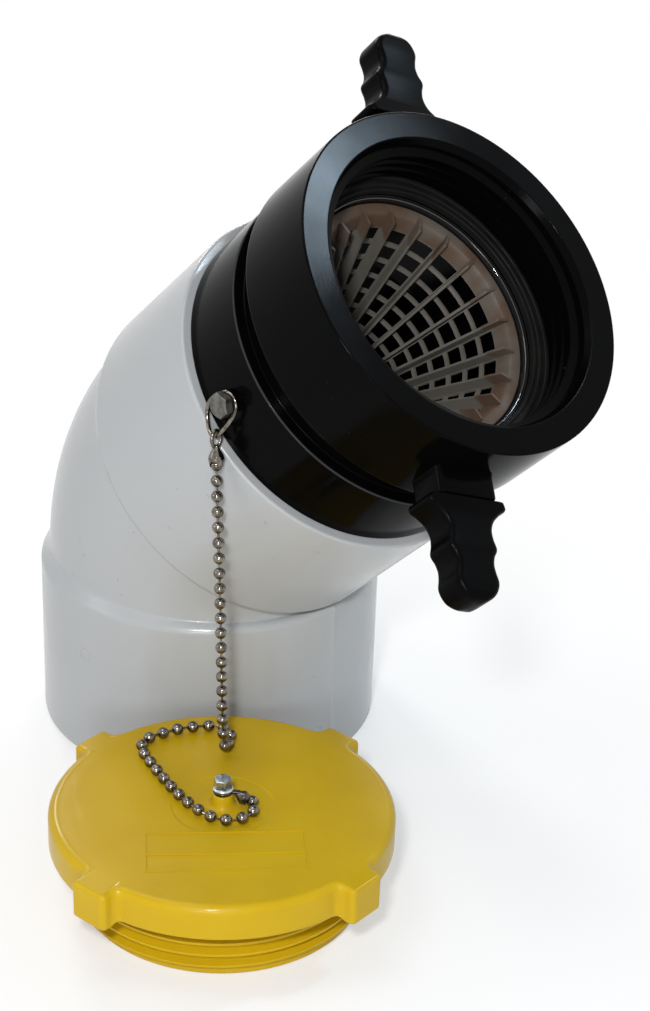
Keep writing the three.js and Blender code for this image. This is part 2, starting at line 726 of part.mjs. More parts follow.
// flat eye round the plug's screw, and the bell on its tail, lying towards the chain's end
function plugCoupling() {
  const z = PLUG_TOP + BOSS_H + SEAT;
  const outer = solid(upright(SCREW_R + 2.4, z, z + EYE_T, 16));
  const hole = solid(upright(SCREW_R + SEAT, z - 1, z + EYE_T + 1, 16));
  const arm = new THREE.BoxGeometry(4.6, 2.6, EYE_T);
  arm.translate(SCREW_R + 3.6, 0, z + EYE_T / 2);
  const cup = turned([
    [0, 1.2], [1.9, 1.2], [2.5, 0], [3, 0], [3.4, 1.8], [3.2, 4.2], [1.6, 6.4], [0, 6.8],
  ], 12);
  cup.rotateY(THREE.MathUtils.degToRad(-60));
  cup.translate(12, 0, z - 2.9);
  return toGeometry(outer.add(solid(arm)).add(solid(cup)).subtract(hole));
}

// ---------------------------------------------------------------- assembly
const part = new THREE.Group();
const stand = new THREE.Group();
part.add(stand);

const outlet = new THREE.Group();
outlet.position.set(0, 0, CORNER_Z);
outlet.rotation.y = BEND;
stand.add(outlet);

const plugPlace = new THREE.Group();
plugPlace.position.set(PLUG_X, PLUG_Y, 0);
stand.add(plugPlace);

named('elbow', skin([...elbowOutside(), ...elbowInside()], true), WHITE_PLASTIC, stand);
named('adapter_tail', tailSolid(), BLACK_METAL, outlet);
named('tether_screw', tetherScrew(), ZINC, outlet);
for (let k = 0; k < BALLS; k++) {
  named(`race_ball_${String(k + 1).padStart(2, '0')}`, ball(k), ZINC, outlet);
}
named('swivel_ring', swivelRing(), BLACK_METAL, outlet);
named('grip_upper', grip(GRIP_ANGLE), BLACK_METAL, outlet);
named('grip_lower', grip(GRIP_ANGLE + 180), BLACK_METAL, outlet);
named('swivel_gasket', gasket(), RUBBER, outlet);
named('race_filler_screw', fillerScrew(), ZINC, outlet);
named('basket_strainer', strainer(), BEIGE_PLASTIC, outlet);
named('plug', plug(), YELLOW_PLASTIC, plugPlace);
named('plug_screw', plugScrew(), ZINC, plugPlace);
named('plug_nut', plugNut(), ZINC, plugPlace);

const cord = new THREE.Group();
stand.add(cord);
named('tether_link', linkWire(), NICKEL, cord);
named('chain_coupling_upper', topCoupling(), NICKEL, cord);
const steps = CHAIN_POINTS.length + 15;
named('chain', tube(curveThrough(CHAIN_POINTS), CHAIN_R, 8, steps), NICKEL, cord);
const lowerEnd = new THREE.Group();
lowerEnd.position.copy(plugPlace.position);
lowerEnd.rotation.z = THREE.MathUtils.degToRad(35);
cord.add(lowerEnd);
named('chain_coupling_plug', plugCoupling(), DARK_METAL, lowerEnd);

// origin at the middle of the base of everything but the chain
part.updateMatrixWorld(true);
const box = new THREE.Box3();
stand.traverse((o) => {
  const onCord = o.parent === cord || o.parent === lowerEnd;
  if (o.isMesh && !onCord) box.expandByObject(o, true);
});
stand.position.set(-(box.min.x + box.max.x) / 2, -(box.min.y + box.max.y) / 2, -box.min.z);
part.updateMatrixWorld(true);

export default part;
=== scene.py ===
import math

import bmesh
import bpy
from mathutils import Matrix, Vector


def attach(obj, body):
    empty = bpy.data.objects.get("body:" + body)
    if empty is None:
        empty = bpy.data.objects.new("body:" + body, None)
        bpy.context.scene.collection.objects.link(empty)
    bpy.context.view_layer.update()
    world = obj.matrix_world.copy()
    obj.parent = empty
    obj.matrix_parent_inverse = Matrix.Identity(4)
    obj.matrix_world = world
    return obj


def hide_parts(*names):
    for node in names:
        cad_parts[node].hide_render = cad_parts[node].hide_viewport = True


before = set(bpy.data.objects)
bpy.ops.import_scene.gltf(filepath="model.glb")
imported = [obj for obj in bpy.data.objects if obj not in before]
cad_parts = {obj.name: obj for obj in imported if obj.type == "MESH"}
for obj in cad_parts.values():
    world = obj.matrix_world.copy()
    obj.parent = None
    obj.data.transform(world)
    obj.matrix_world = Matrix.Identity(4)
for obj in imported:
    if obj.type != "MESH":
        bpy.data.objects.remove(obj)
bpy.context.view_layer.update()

MM = 0.001
TURN = 2 * math.pi
SIDES = 144  # columns round a large round piece
SEAT = 0.3  # gap left where one piece seats on another

# -------- sizes of the elbow
BEND = math.radians(45)
BEND_R = 92
HUB_LOW = 93.9
HUB_UP = 89.5
HUB_R = 91.3
BODY_R = 86.6
SOCKET_R = 84.4
SOCKET_MOUTH_R = SOCKET_R + 0.4
SOCKET_DEPTH = 75
ELBOW_SIDES = 120
PASSAGE_R = 77
TANGENT = BEND_R * math.tan(BEND / 2)
CORNER_Z = HUB_LOW + TANGENT
HUB_END = TANGENT + HUB_UP  # likewise a distance along the outlet's axis

# -------- tail and swivel
COLLAR_END = HUB_END + SEAT + 39.4
SHOULDER = COLLAR_END + 14.4
NOSE_END = SHOULDER + 13.2
SPIGOT_R = 84
TAIL_BORE_R = 76
COLLAR_R = 86.6
GROOVE_R = 80.5
NOSE_R = 77.7
SEAT_BORE_R = 63
LEDGE_R = 60.2
LEDGE_S = NOSE_END - 8
RING_R = 89.1
RING_REAR = SHOULDER + 0.7
RING_FRONT = RING_REAR + 49.1
RING_BORE_R = NOSE_R + 0.8
RACE_S = RING_REAR + 6.1
RACE_R = NOSE_R + 0.4  # circle of the balls' centres
BALL_R = 3.2
BALLS = 12
THREAD_R = 73.3
PITCH = 6.35
THREAD_DEPTH = 3.7
THREAD_SUNK = 0.8  # how deep a ridge stands in its wall
ROOT_WIDTH = 0.78  # shares of the pitch
CREST_WIDTH = 0.2
RUN_OUT = 0.12  # turns over which a ridge dies away
MOUTH_R = 75.3
POCKET_R = 75
GASKET_S = NOSE_END + SEAT + 0.1
GASKET_TOP = GASKET_S + 4
GRIP_HALF = 9.25
GRIP_MID = RING_REAR + 8.9 + GRIP_HALF
BOSS_R = 101
GRIP_REACH = 152
GRIP_ANGLES = {"upper": 152, "lower": 332}
TETHER_S = HUB_END + 17.5
TETHER_ANGLE = 266
FILLER_ANGLE = 100

# -------- strainer
FINS = 21
FIN_PHASE = 89.3
CONE_TOP = LEDGE_S + SEAT - 3
RIM_TOP = LEDGE_S + SEAT + 4.6
BASKET_END = RIM_TOP - 86.9
CONE_R = 55.1
CONE_SLOPE = 0.442
WALL = 1.3
FIN_HEIGHT = 6.2
FIN_HALF = 0.68
PILLAR_HALF = 1.2
WINDOW_ROWS = 9
FIRST_WINDOW = 180
ROW_PITCH = 8.69
WINDOW_HALF = 3.55

# -------- plug
PLUG_TOP = 49.2
PLUG_DECK = PLUG_TOP - 6
FLANGE_UNDER = 31
PLUG_R = 84.3
LUG_REACH = 92.2
LUG_HALF = 10.5
LUG_DROP = 2.5
LUG_PHASE = math.radians(2.2)
MALE_R = THREAD_R - 0.4
PLUG_CORE = MALE_R - THREAD_DEPTH
PLUG_ANGLE = math.radians(-43)
PLUG_AWAY = HUB_R + 92.5 + 0.8
BOSS_TOP = PLUG_TOP + 7
EYE_Z = BOSS_TOP + SEAT
SCREW_SEAT = BOSS_TOP + 2.2
LABEL_FIELDS = ((23.5, 39.9), (40.9, 53.9))
LABEL_LENGTH = 75

# -------- places
SHIFT = Vector((-76.43763, 63.82347, 0))  # the lower pipe's axis from the origin
PLUG_AT = SHIFT + Vector((math.cos(PLUG_ANGLE), math.sin(PLUG_ANGLE), 0)) * PLUG_AWAY


def moved(x, y, z):
    return Matrix.Translation((x, y, z))


def spun(degrees, axis):
    return Matrix.Rotation(math.radians(degrees), 4, axis)


UPRIGHT = Matrix.Scale(MM, 4) @ Matrix.Translation(SHIFT)
OUTLET = UPRIGHT @ moved(0, 0, CORNER_Z) @ spun(45, "Y")
PLUG_PLACE = Matrix.Scale(MM, 4) @ Matrix.Translation(PLUG_AT)


def outward(along, degrees, radius):
    """Place from the outlet's own, with its Z pointing away from the outlet axis."""
    return moved(0, 0, along) @ spun(degrees, "Z") @ moved(radius, 0, 0) @ spun(90, "Y")


# ======== camera
LENS = 85.14
LENS_SHIFT = (-0.0575, 0.0949)
CAMERA_RIGHT = (0.7485, 0.6617, 0.0439)
CAMERA_AHEAD = (-0.5624, 0.6684, -0.4867)
CAMERA_AT = (811.45, -816.8, 703.73)  # from the lower pipe's axis


def set_camera():
    data = bpy.data.cameras.new("camera")
    data.lens = LENS
    data.shift_x, data.shift_y = LENS_SHIFT
    data.clip_start = 0.05
    right = Vector(CAMERA_RIGHT).normalized()
    ahead = Vector(CAMERA_AHEAD).normalized()
    up = right.cross(ahead).normalized()
    right = ahead.cross(up)
    eye = (Vector(CAMERA_AT) + SHIFT) * MM
    place = Matrix((right, up, -ahead)).transposed().to_4x4()
    place.translation = eye
    camera = bpy.data.objects.new("camera", data)
    camera.matrix_world = place
    bpy.context.scene.collection.objects.link(camera)
    bpy.context.scene.camera = camera
    return right, up, ahead, eye


RIGHT, UP, AHEAD, EYE = set_camera()


# ======== mesh helpers
def rounded(profile, closed=True, steps=5, near=0.35, longest=None):
    """Corners (a, b, fillet) made round, with rows close to each corner that hold it."""
    count = len(profile)
    corners = []
    for i, (a, b, *fillet) in enumerate(profile):
        here = Vector((a, b))
        end = not closed and i in (0, count - 1)
        if end or not fillet or not fillet[0]:
            corners.append([here])
            continue
        back = Vector(profile[i - 1][:2]) - here
        ahead = Vector(profile[(i + 1) % count][:2]) - here
        half = back.angle(ahead) / 2
        run = min(fillet[0] / math.tan(half), back.length * 0.49, ahead.length * 0.49)
        radius = run * math.tan(half)
        back.normalize()
        ahead.normalize()
        centre = here + (back + ahead).normalized() * radius / math.sin(half)
        first = here + back * run - centre
        last = here + ahead * run - centre
        sweep = math.pi - 2 * half
        arc = []
        for k in range(steps + 1):
            t = k / steps
            spoke = first * math.sin((1 - t) * sweep) + last * math.sin(t * sweep)
            arc.append(centre + spoke / math.sin(sweep))
        corners.append(arc)
    out = []
    for i, arc in enumerate(corners):
        out += arc
        if not closed and i == count - 1:
            break
        start, stop = arc[-1], corners[(i + 1) % count][0]
        gap = (stop - start).length
        if gap > 4 * near:
            marks = [near / gap]
            if longest:
                pieces = math.ceil(gap / longest)
                marks += [k / pieces for k in range(1, pieces)]
            marks.append(1 - near / gap)
            out += [start.lerp(stop, t) for t in sorted(marks)]
    return [(p.x, p.y) for p in out]


def skin(rows, ring=True):
    """Mesh over rows of points. A row of one point is a pole; ring joins the last row on."""
    bm = bmesh.new()
    made = [[bm.verts.new(p) for p in row] for row in rows]
    pairs = list(zip(made, made[1:]))
    if ring:
        pairs.append((made[-1], made[0]))
    for a, b in pairs:
        for k in range(max(len(a), len(b))):
            m = k + 1
            loop = [a[k % len(a)], a[m % len(a)], b[m % len(b)], b[k % len(b)]]
            face = list(dict.fromkeys(loop))
            if len(face) > 2:
                bm.faces.new(face)
    return bm


def circle(radius, height, sides=SIDES):
    if radius < 1e-6:
        return [Vector((0, 0, height))]
    angles = [TURN * k / sides for k in range(sides)]
    return [Vector((radius * math.cos(a), radius * math.sin(a), height)) for a in angles]


def lathe(profile, sides=SIDES, ring=True):
    return skin([circle(r, z, sides) for r, z in profile], ring)


def drum(radius, low, high, sides=32, edge=0.0):
    profile = [(0, low), (radius, low, edge), (radius, high, edge), (0, high)]
    return lathe(rounded(profile, False, 3, 0.2), sides, False)


def block(size, centre):
    bm = bmesh.new()
    place = Matrix.Translation(centre) @ Matrix.Diagonal((*size, 1))
    bmesh.ops.create_cube(bm, size=1, matrix=place)
    return bm


def placed(bm, place):
    bmesh.ops.transform(bm, matrix=place, verts=bm.verts)
    return bm


def as_bmesh(mesh):
    bm = bmesh.new()
    bm.from_mesh(mesh)
    return bm


def clean(bm):
    bmesh.ops.remove_doubles(bm, verts=bm.verts, dist=2e-4)
    bmesh.ops.recalc_face_normals(bm, faces=bm.faces)
    return bm


def fused(base, tools, operation="UNION"):
    """Closed mesh of base with each tool joined to it or cut from it."""
    holders = []
    for bm in [base, *tools]:
        mesh = bpy.data.meshes.new("holder")
        clean(bm).to_mesh(mesh)
        bm.free()
        holders.append(bpy.data.objects.new("holder", mesh))
        bpy.context.scene.collection.objects.link(holders[-1])
    for tool in holders[1:]:
        step = holders[0].modifiers.new("step", "BOOLEAN")
        step.operation = operation
        step.solver = "MANIFOLD"
        step.object = tool
    graph = bpy.context.evaluated_depsgraph_get()
    joined = bpy.data.meshes.new_from_object(holders[0].evaluated_get(graph), depsgraph=graph)
    for holder in holders:
        bpy.data.objects.remove(holder)
    return as_bmesh(joined)


def piece(name, shape, place, finish, body, nodes, sharp=32):
    """A finished piece of the object: placed, smoothed, painted, and riding on its body."""
    if isinstance(shape, bmesh.types.BMesh):
        mesh = bpy.data.meshes.new(name)
        clean(shape).to_mesh(mesh)
        shape.free()
    else:
        mesh = shape
        mesh.name = name
    mesh.transform(place)
    mesh.shade_smooth()
    mesh.set_sharp_from_angle(angle=math.radians(sharp))
    mesh.materials.clear()
    mesh.materials.append(finish)
    made = bpy.data.objects.new(name, mesh)
    bpy.context.scene.collection.objects.link(made)
    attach(made, body)
    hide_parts(*nodes)
    return made


# ======== paths
def through(points, per_span, closed=False):
    """Points on the centripetal curve through the given ones, as the part's source draws it."""
    p = [Vector(q) for q in points]
    n = len(p)
    out = []
    for i in range(n if closed else n - 1):
        if closed:
            a, b, c, d = (p[(i + k) % n] for k in (-1, 0, 1, 2))
        else:
            b, c = p[i], p[i + 1]
            a = p[i - 1] if i else 2 * b - c
            d = p[i + 2] if i + 2 < n else 2 * c - b
        t0, t1, t2 = (math.sqrt((v - u).length) for u, v in ((a, b), (b, c), (c, d)))
        m0 = ((b - a) / t0 - (c - a) / (t0 + t1) + (c - b) / t1) * t1
        m1 = ((c - b) / t1 - (d - b) / (t1 + t2) + (d - c) / t2) * t1
        for k in range(per_span):
            t = k / per_span
            out.append(
                (2 * t**3 - 3 * t**2 + 1) * b + (t**3 - 2 * t**2 + t) * m0
                + (3 * t**2 - 2 * t**3) * c + (t**3 - t**2) * m1
            )
    if not closed:
        out.append(p[-1])
    return out


def wire_loop(points, radius):
    """Closed wire along a closed path, its section carried round without twist."""
    n = len(points)
    sides = 12
    ways = [(points[(i + 1) % n] - points[i - 1]).normalized() for i in range(n)]
    side = ways[0].orthogonal().normalized()
    sections = []
    for way in ways + [ways[0]]:
        side = (side - way * side.dot(way)).normalized()
        sections.append(side.copy())
    end = sections.pop()
    twist = math.atan2(ways[0].dot(sections[0].cross(end)), sections[0].dot(end))
    rows = []
    for i, (point, way, side) in enumerate(zip(points, ways, sections)):
        across = way.cross(side)
        turn = -twist * i / n
        angles = [turn + TURN * k / sides for k in range(sides)]
        rows.append([point + (side * math.cos(a) + across * math.sin(a)) * radius for a in angles])
    return skin(rows)


# ======== Geometry Nodes
def add_node(tree, kind, inputs=None, **settings):
    """A new node, with a link or a value at each input given."""
    node = tree.nodes.new(kind)
    for label, value in settings.items():
        setattr(node, label, value)
    for label, value in (inputs or {}).items():
        if isinstance(value, bpy.types.NodeSocket):
            tree.links.new(value, node.inputs[label])
        else:
            node.inputs[label].default_value = value
    return node


class Rule:
    """A Geometry Nodes tree with named inputs."""

    def __init__(self, name, inputs):
        self.tree = bpy.data.node_groups.new(name, "GeometryNodeTree")
        face = self.tree.interface
        for way in ("INPUT", "OUTPUT"):
            face.new_socket("Geometry", in_out=way, socket_type="NodeSocketGeometry")
        for label, kind in inputs.items():
            face.new_socket(label, in_out="INPUT", socket_type="NodeSocket" + kind)
        face.new_socket("Finish", in_out="INPUT", socket_type="NodeSocketMaterial")
        self.given = self.tree.nodes.new("NodeGroupInput").outputs

    def add(self, kind, inputs=None, **settings):
        return add_node(self.tree, kind, inputs, **settings).outputs[0]

    def op(self, operation, *values):
        return self.add("ShaderNodeMath", dict(enumerate(values)), operation=operation)

    def close(self, geometry):
        real = self.add("GeometryNodeRealizeInstances", {0: geometry})
        painted = self.add("GeometryNodeSetMaterial", {0: real, "Material": self.given["Finish"]})
        self.tree.links.new(painted, self.tree.nodes.new("NodeGroupOutput").inputs[0])

    def grow(self, data, values, finish):
        """The plain mesh that the tree makes of data with these values."""
        values = {**values, "Finish": finish}
        holder = bpy.data.objects.new("holder", data)
        bpy.context.scene.collection.objects.link(holder)
        step = holder.modifiers.new("rule", "NODES")
        step.node_group = self.tree
        for item in self.tree.interface.items_tree:
            if item.in_out == "INPUT" and item.name in values:
                step[item.identifier] = values[item.name]
        graph = bpy.context.evaluated_depsgraph_get()
        mesh = bpy.data.meshes.new_from_object(holder.evaluated_get(graph), depsgraph=graph)
        bpy.data.objects.remove(holder)
        return mesh


def ring_rule():
    """Copies of one piece set round Z and merged where they meet."""
    rule = Rule("ring_of_copies", {"Count": "Int", "Merge Distance": "Float"})
    given = rule.given
    points = rule.add("GeometryNodePoints", {"Count": given["Count"]})
    share = rule.op("DIVIDE", rule.add("GeometryNodeInputIndex"), given["Count"])
    angle = rule.op("MULTIPLY", share, TURN)
    euler = rule.add("ShaderNodeCombineXYZ", {"Z": angle})
    turn = rule.add("FunctionNodeEulerToRotation", {0: euler})
    copies = rule.add(
        "GeometryNodeInstanceOnPoints",
        {"Points": points, "Instance": given["Geometry"], "Rotation": turn},
    )
    real = rule.add("GeometryNodeRealizeInstances", {0: copies})
    near = {0: real, "Distance": given["Merge Distance"]}
    rule.close(rule.add("GeometryNodeMergeByDistance", near))
    return rule


def thread_rule():
    """One right-handed helical ridge that runs out at both ends."""
    sizes = ("Root Radius", "Height", "Pitch", "Turns", "Root Width", "Crest Width", "Run Out")
    rule = Rule("thread_ridge", {label: "Float" for label in sizes})
    given = rule.given
    fall = rule.op("MULTIPLY", rule.op("MULTIPLY", given["Pitch"], given["Turns"]), -1.0)
    helix = rule.add(
        "GeometryNodeCurveSpiral",
        {
            "Resolution": 72, "Rotations": given["Turns"], "Height": fall,
            "Start Radius": given["Root Radius"], "End Radius": given["Root Radius"],
        },
    )
    upright = rule.add("GeometryNodeSetCurveNormal", {"Curve": helix}, mode="Z_UP")
    section = rule.tree.nodes.new("GeometryNodeCurvePrimitiveQuadrilateral")
    section.mode = "POINTS"
    corners = (("Root Width", -0.5, 0), ("Crest Width", -0.5, 1),
               ("Crest Width", 0.5, 1), ("Root Width", 0.5, 0))
    for k, (width, share, out) in enumerate(corners):
        corner = {"X": rule.op("MULTIPLY", given["Height"], float(-out))}
        corner["Y"] = rule.op("MULTIPLY", given[width], share)
        point = rule.add("ShaderNodeCombineXYZ", corner)
        rule.tree.links.new(point, section.inputs[f"Point {k + 1}"])
    share = rule.add("GeometryNodeSplineParameter")
    left = rule.op("SUBTRACT", 1.0, share)
    ends = rule.op("DIVIDE", rule.op("MINIMUM", share, left), given["Run Out"])
    scale = rule.op("MINIMUM", rule.op("MAXIMUM", ends, 0.02), 1.0)
    sweep = {"Curve": upright, "Profile Curve": section.outputs[0], "Scale": scale}
    rule.close(rule.add("GeometryNodeCurveToMesh", {**sweep, "Fill Caps": True}))
    return rule


def chain_rule():
    """Balls set a pitch apart along a path, on a thin pin."""
    rule = Rule("ball_chain", {"Pitch": "Float", "Ball Radius": "Float", "Pin Radius": "Float"})
    given = rule.given
    spaced = rule.add(
        "GeometryNodeResampleCurve",
        {"Curve": given["Geometry"], "Length": given["Pitch"]}, mode="LENGTH",
    )
    size = {"Radius": given["Ball Radius"], "Subdivisions": 3}
    ball = rule.add("GeometryNodeMeshIcoSphere", size)
    balls = rule.add("GeometryNodeInstanceOnPoints", {"Points": spaced, "Instance": ball})
    size = {"Radius": given["Pin Radius"], "Resolution": 8}
    wire = rule.add("GeometryNodeCurvePrimitiveCircle", size)
    pin = rule.add(
        "GeometryNodeCurveToMesh",
        {"Curve": given["Geometry"], "Profile Curve": wire, "Fill Caps": True},
    )
    both = rule.tree.nodes.new("GeometryNodeJoinGeometry")
    for part in (pin, balls):
        rule.tree.links.new(part, both.inputs[0])
    rule.close(both.outputs[0])
    return rule


# ======== finishes
# where a finish changes, in metres from the outlet's axis or along it
SEAT_WORN = {"radius": (0.0652, 0.0643), "along": (0.190, 0.1905)}
RIM_STAINED = (0.1825, 0.1850)
# radii of the collar's front edge, where a highlight is painted into the colour
COLLAR_PAINTED_HIGHLIGHT = (0.0856, 0.0864)
COLLAR_EDGE = COLLAR_END * MM


class Finish:
    """A procedural material on Object coordinates, turned to the outlet's own if asked."""

    def __init__(self, name, turned=False, **sockets):
        self.material = bpy.data.materials.new(name)
        self.material.use_nodes = True
        self.tree = self.material.node_tree
        self.shader = self.tree.nodes["Principled BSDF"]
        for label, value in sockets.items():
            self.shader.inputs[label.replace("_", " ")].default_value = value
        self.at = self.add("ShaderNodeTexCoord").outputs["Object"]
        if turned:
            mapping = self.add("ShaderNodeMapping", {"Vector": self.at}, vector_type="TEXTURE")
            mapping.inputs["Location"].default_value = OUTLET.translation
            mapping.inputs["Rotation"].default_value = (0, BEND, 0)
            self.at = mapping.outputs[0]

    def add(self, kind, inputs=None, **settings):
        return add_node(self.tree, kind, inputs, **settings)

    def noise(self, scale, detail):
        sockets = {"Vector": self.at, "Scale": scale, "Detail": detail}
        return self.add("ShaderNodeTexNoise", sockets).outputs["Fac"]

    def op(self, operation, *values):
        return self.add("ShaderNodeMath", dict(enumerate(values)), operation=operation).outputs[0]

    def band(self, value, low, high, out_low=0.0, out_high=1.0):
        ends = {"From Min": low, "From Max": high, "To Min": out_low, "To Max": out_high}
        sockets = {"Value": value, **ends}
        return self.add("ShaderNodeMapRange", sockets, interpolation_type="SMOOTHSTEP").outputs[0]

    def blend(self, share, a, b):
        node = self.add("ShaderNodeMix", data_type="RGBA")
        for index, value in ((0, share), (6, a), (7, b)):
            if isinstance(value, bpy.types.NodeSocket):
                self.tree.links.new(value, node.inputs[index])
            else:
                node.inputs[index].default_value = value if index == 0 else (*value, 1)
        return node.outputs[2]

    def set(self, label, value):
        self.tree.links.new(value, self.shader.inputs[label])

    def relief(self, *heights):
        """Bumps laid over each other, as (height, depth in metres)."""
        normal = None
        for height, depth in heights:
            sockets = {"Height": height, "Distance": depth, "Strength": 1.0}
            if normal:
                sockets["Normal"] = normal
            normal = self.add("ShaderNodeBump", sockets).outputs[0]
        self.set("Normal", normal)

    def outlet_parts(self):
        """Distance from the outlet axis and distance along it."""
        parts = self.add("ShaderNodeSeparateXYZ", {0: self.at}).outputs
        flat = self.add("ShaderNodeCombineXYZ", {"X": parts["X"], "Y": parts["Y"]}).outputs[0]
        return self.length(flat), parts["Z"]

    def length(self, vector):
        node = self.add("ShaderNodeVectorMath", {0: vector}, operation="LENGTH")
        return node.outputs["Value"]


def white_pvc():
    f = Finish("white_pvc", IOR=1.53, Specular_IOR_Level=0.35)
    base = f.blend(f.noise(5, 2), (0.368, 0.383, 0.4), (0.412, 0.425, 0.432))
    specks = f.band(f.noise(260, 2), 0.7, 0.76, 0, 0.4)
    specks = f.op("MULTIPLY", specks, f.band(f.noise(13, 2), 0.5, 0.62))
    f.set("Base Color", f.blend(specks, base, (0.2, 0.19, 0.18)))
    f.set("Roughness", f.band(f.noise(30, 3), 0.2, 0.8, 0.17, 0.27))
    f.relief((f.noise(45, 4), 0.00005), (f.noise(900, 2), 0.000005))
    return f.material


def black_anodised(name="black_anodised", bare_seat=False, low=0.11, high=0.17):
    """Turned metal with fine tool marks; low and high bound its roughness."""
    f = Finish(name, turned=True, IOR=1.5, Specular_IOR_Level=0.03)
    radius, along = f.outlet_parts()
    line = f.op("ADD", along, f.op("MULTIPLY", radius, 0.87))
    sockets = {"W": line, "Scale": 1500.0, "Detail": 3.0}
    tool = f.add("ShaderNodeTexNoise", sockets, noise_dimensions="1D").outputs["Fac"]
    base = f.blend(f.noise(24, 4), (0.0008, 0.0009, 0.0011), (0.0018, 0.0018, 0.002))
    dust = f.band(f.noise(700, 2), 0.735, 0.78, 0, 0.5)
    dust = f.op("MULTIPLY", dust, f.band(f.noise(16, 3), 0.5, 0.7))
    base = f.blend(dust, base, (0.06, 0.058, 0.056))
    rough = f.band(f.noise(30, 2), 0.3, 0.75, low, high)
    if bare_seat:  # the ring round the strainer, worn to the metal
        ring = f.band(radius, *SEAT_WORN["radius"])
        ring = f.op("MULTIPLY", ring, f.band(along, *SEAT_WORN["along"]))
        worn = f.op("MULTIPLY", ring, f.band(f.noise(60, 3), 0.3, 0.45, 0.6, 0.9))
        base = f.blend(worn, base, (0.085, 0.085, 0.087))
        f.set("Metallic", worn)
        rough = f.op("SUBTRACT", rough, f.op("MULTIPLY", ring, 0.12))
    # painted highlight: a paler band along the collar's front edge stands in for the light its
    # rounded edge catches
    edge_highlight = f.band(radius, *COLLAR_PAINTED_HIGHLIGHT)
    edge_highlight = f.op("MULTIPLY", edge_highlight, f.band(along, COLLAR_EDGE - 0.0011, COLLAR_EDGE - 0.0004))
    edge_highlight = f.op("MULTIPLY", edge_highlight, f.band(along, COLLAR_EDGE + 0.0006, COLLAR_EDGE + 0.0003))
    base = f.blend(edge_highlight, base, (0.035, 0.037, 0.04))
    f.set("Base Color", base)
    f.set("Roughness", rough)
    f.relief((tool, 0.000009), (f.noise(1500, 2), 0.000005))
    return f.material


def yellow_plastic():
    f = Finish("yellow_plastic", IOR=1.5, Specular_IOR_Level=0.13,
               Coat_Weight=0.12, Coat_Roughness=0.08)
    share = f.band(f.noise(14, 4), 0.3, 0.7)
    base = f.blend(share, (0.475, 0.303, 0.0045), (0.535, 0.352, 0.006))
    f.set("Base Color", base)
    f.set("Roughness", f.band(f.noise(50, 5), 0.3, 0.75, 0.3, 0.42))
    f.relief((f.noise(22, 2), 0.0004), (f.noise(1100, 3), 0.000014))
    return f.material


def beige_plastic():
    f = Finish("beige_plastic", turned=True, IOR=1.48, Specular_IOR_Level=0.35)
    along = f.outlet_parts()[1]
    # painted shade: the basket's colours are kept darker than its beige plastic, standing in for
    # the shade inside the ring's mouth
    base = f.blend(f.noise(30, 4), (0.11, 0.102, 0.089), (0.155, 0.144, 0.126))
    rim = f.band(along, *RIM_STAINED)
    stain = f.band(f.noise(45, 5), 0.38, 0.66)
    stained = f.blend(stain, (0.11, 0.094, 0.076), (0.085, 0.047, 0.027))
    base = f.blend(f.op("MULTIPLY", rim, 0.9), base, stained)
    grime = f.band(f.noise(110, 6), 0.55, 0.75, 0, 0.45)
    f.set("Base Color", f.blend(grime, base, (0.09, 0.075, 0.06)))
    f.set("Roughness", f.band(f.noise(90, 4), 0.3, 0.7, 0.5, 0.68))
    f.relief((f.noise(700, 3), 0.00002))
    return f.material


def plated(name, light, dark, low, high):
    f = Finish(name, Metallic=1.0)
    f.set("Base Color", f.blend(f.band(f.noise(320, 5), 0.35, 0.68), light, dark))
    f.set("Roughness", f.band(f.noise(420, 4), 0.3, 0.7, low, high))
    f.relief((f.noise(1600, 3), 0.00001))
    return f.material


def rubber():
    f = Finish("black_rubber", Specular_IOR_Level=0.1)
    f.set("Base Color", f.blend(f.noise(60, 4), (0.004, 0.004, 0.004), (0.012, 0.0115, 0.011)))
    f.set("Roughness", f.band(f.noise(130, 4), 0.3, 0.7, 0.5, 0.75))
    f.relief((f.noise(1200, 3), 0.00003))
    return f.material


WHITE = white_pvc()
BLACK = black_anodised()
BLACK_BARE = black_anodised("black_anodised_bare_edge", bare_seat=True)
BLACK_SATIN = black_anodised("black_anodised_satin", low=0.26, high=0.36)
YELLOW = yellow_plastic()
BEIGE = beige_plastic()
# painted reflection: the nickel's colours are darkened to stand in for dark surroundings reflected
# in the chain's balls
NICKEL = plated("nickel_steel", (0.23, 0.208, 0.18), (0.10, 0.088, 0.073), 0.07, 0.15)
ZINC = plated("zinc_steel", (0.60, 0.66, 0.70), (0.38, 0.42, 0.45), 0.18, 0.32)
DULL_ZINC = plated("weathered_zinc_steel", (0.17, 0.165, 0.15), (0.095, 0.09, 0.08), 0.4, 0.55)
DARK = plated("dark_steel", (0.13, 0.118, 0.1), (0.065, 0.057, 0.048), 0.18, 0.32)
BALL = plated("ball_steel", (0.62, 0.62, 0.62), (0.5, 0.5, 0.5), 0.1, 0.2)
RUBBER = rubber()
RING = ring_rule()
THREAD = thread_rule()
CHAIN = chain_rule()


def ridge(radius, height, low, turns, finish):
    """Thread ridge from root radius, inward if height is below 0, rising from low."""
    sizes = {
        "Root Radius": radius, "Height": height, "Pitch": PITCH, "Turns": turns,
        "Root Width": PITCH * ROOT_WIDTH, "Crest Width": PITCH * CREST_WIDTH,
        "Run Out": RUN_OUT / turns,
    }
    bm = as_bmesh(THREAD.grow(bpy.data.meshes.new("seed"), sizes, finish))
    return placed(bm, moved(0, 0, low + turns * PITCH))


# ======== elbow
def elbow_spine(along):
    """Centre of the elbow and its lean, a distance up from the foot of the lower hub."""
    turn = min(max((along - HUB_LOW) / BEND_R, 0), BEND)
    x = BEND_R * (1 - math.cos(turn))
    z = min(along, HUB_LOW) + BEND_R * math.sin(turn)
    past = max(along - HUB_LOW - BEND_R * BEND, 0)
    return Vector((x + past * math.sin(turn), 0, z + past * math.cos(turn))), turn


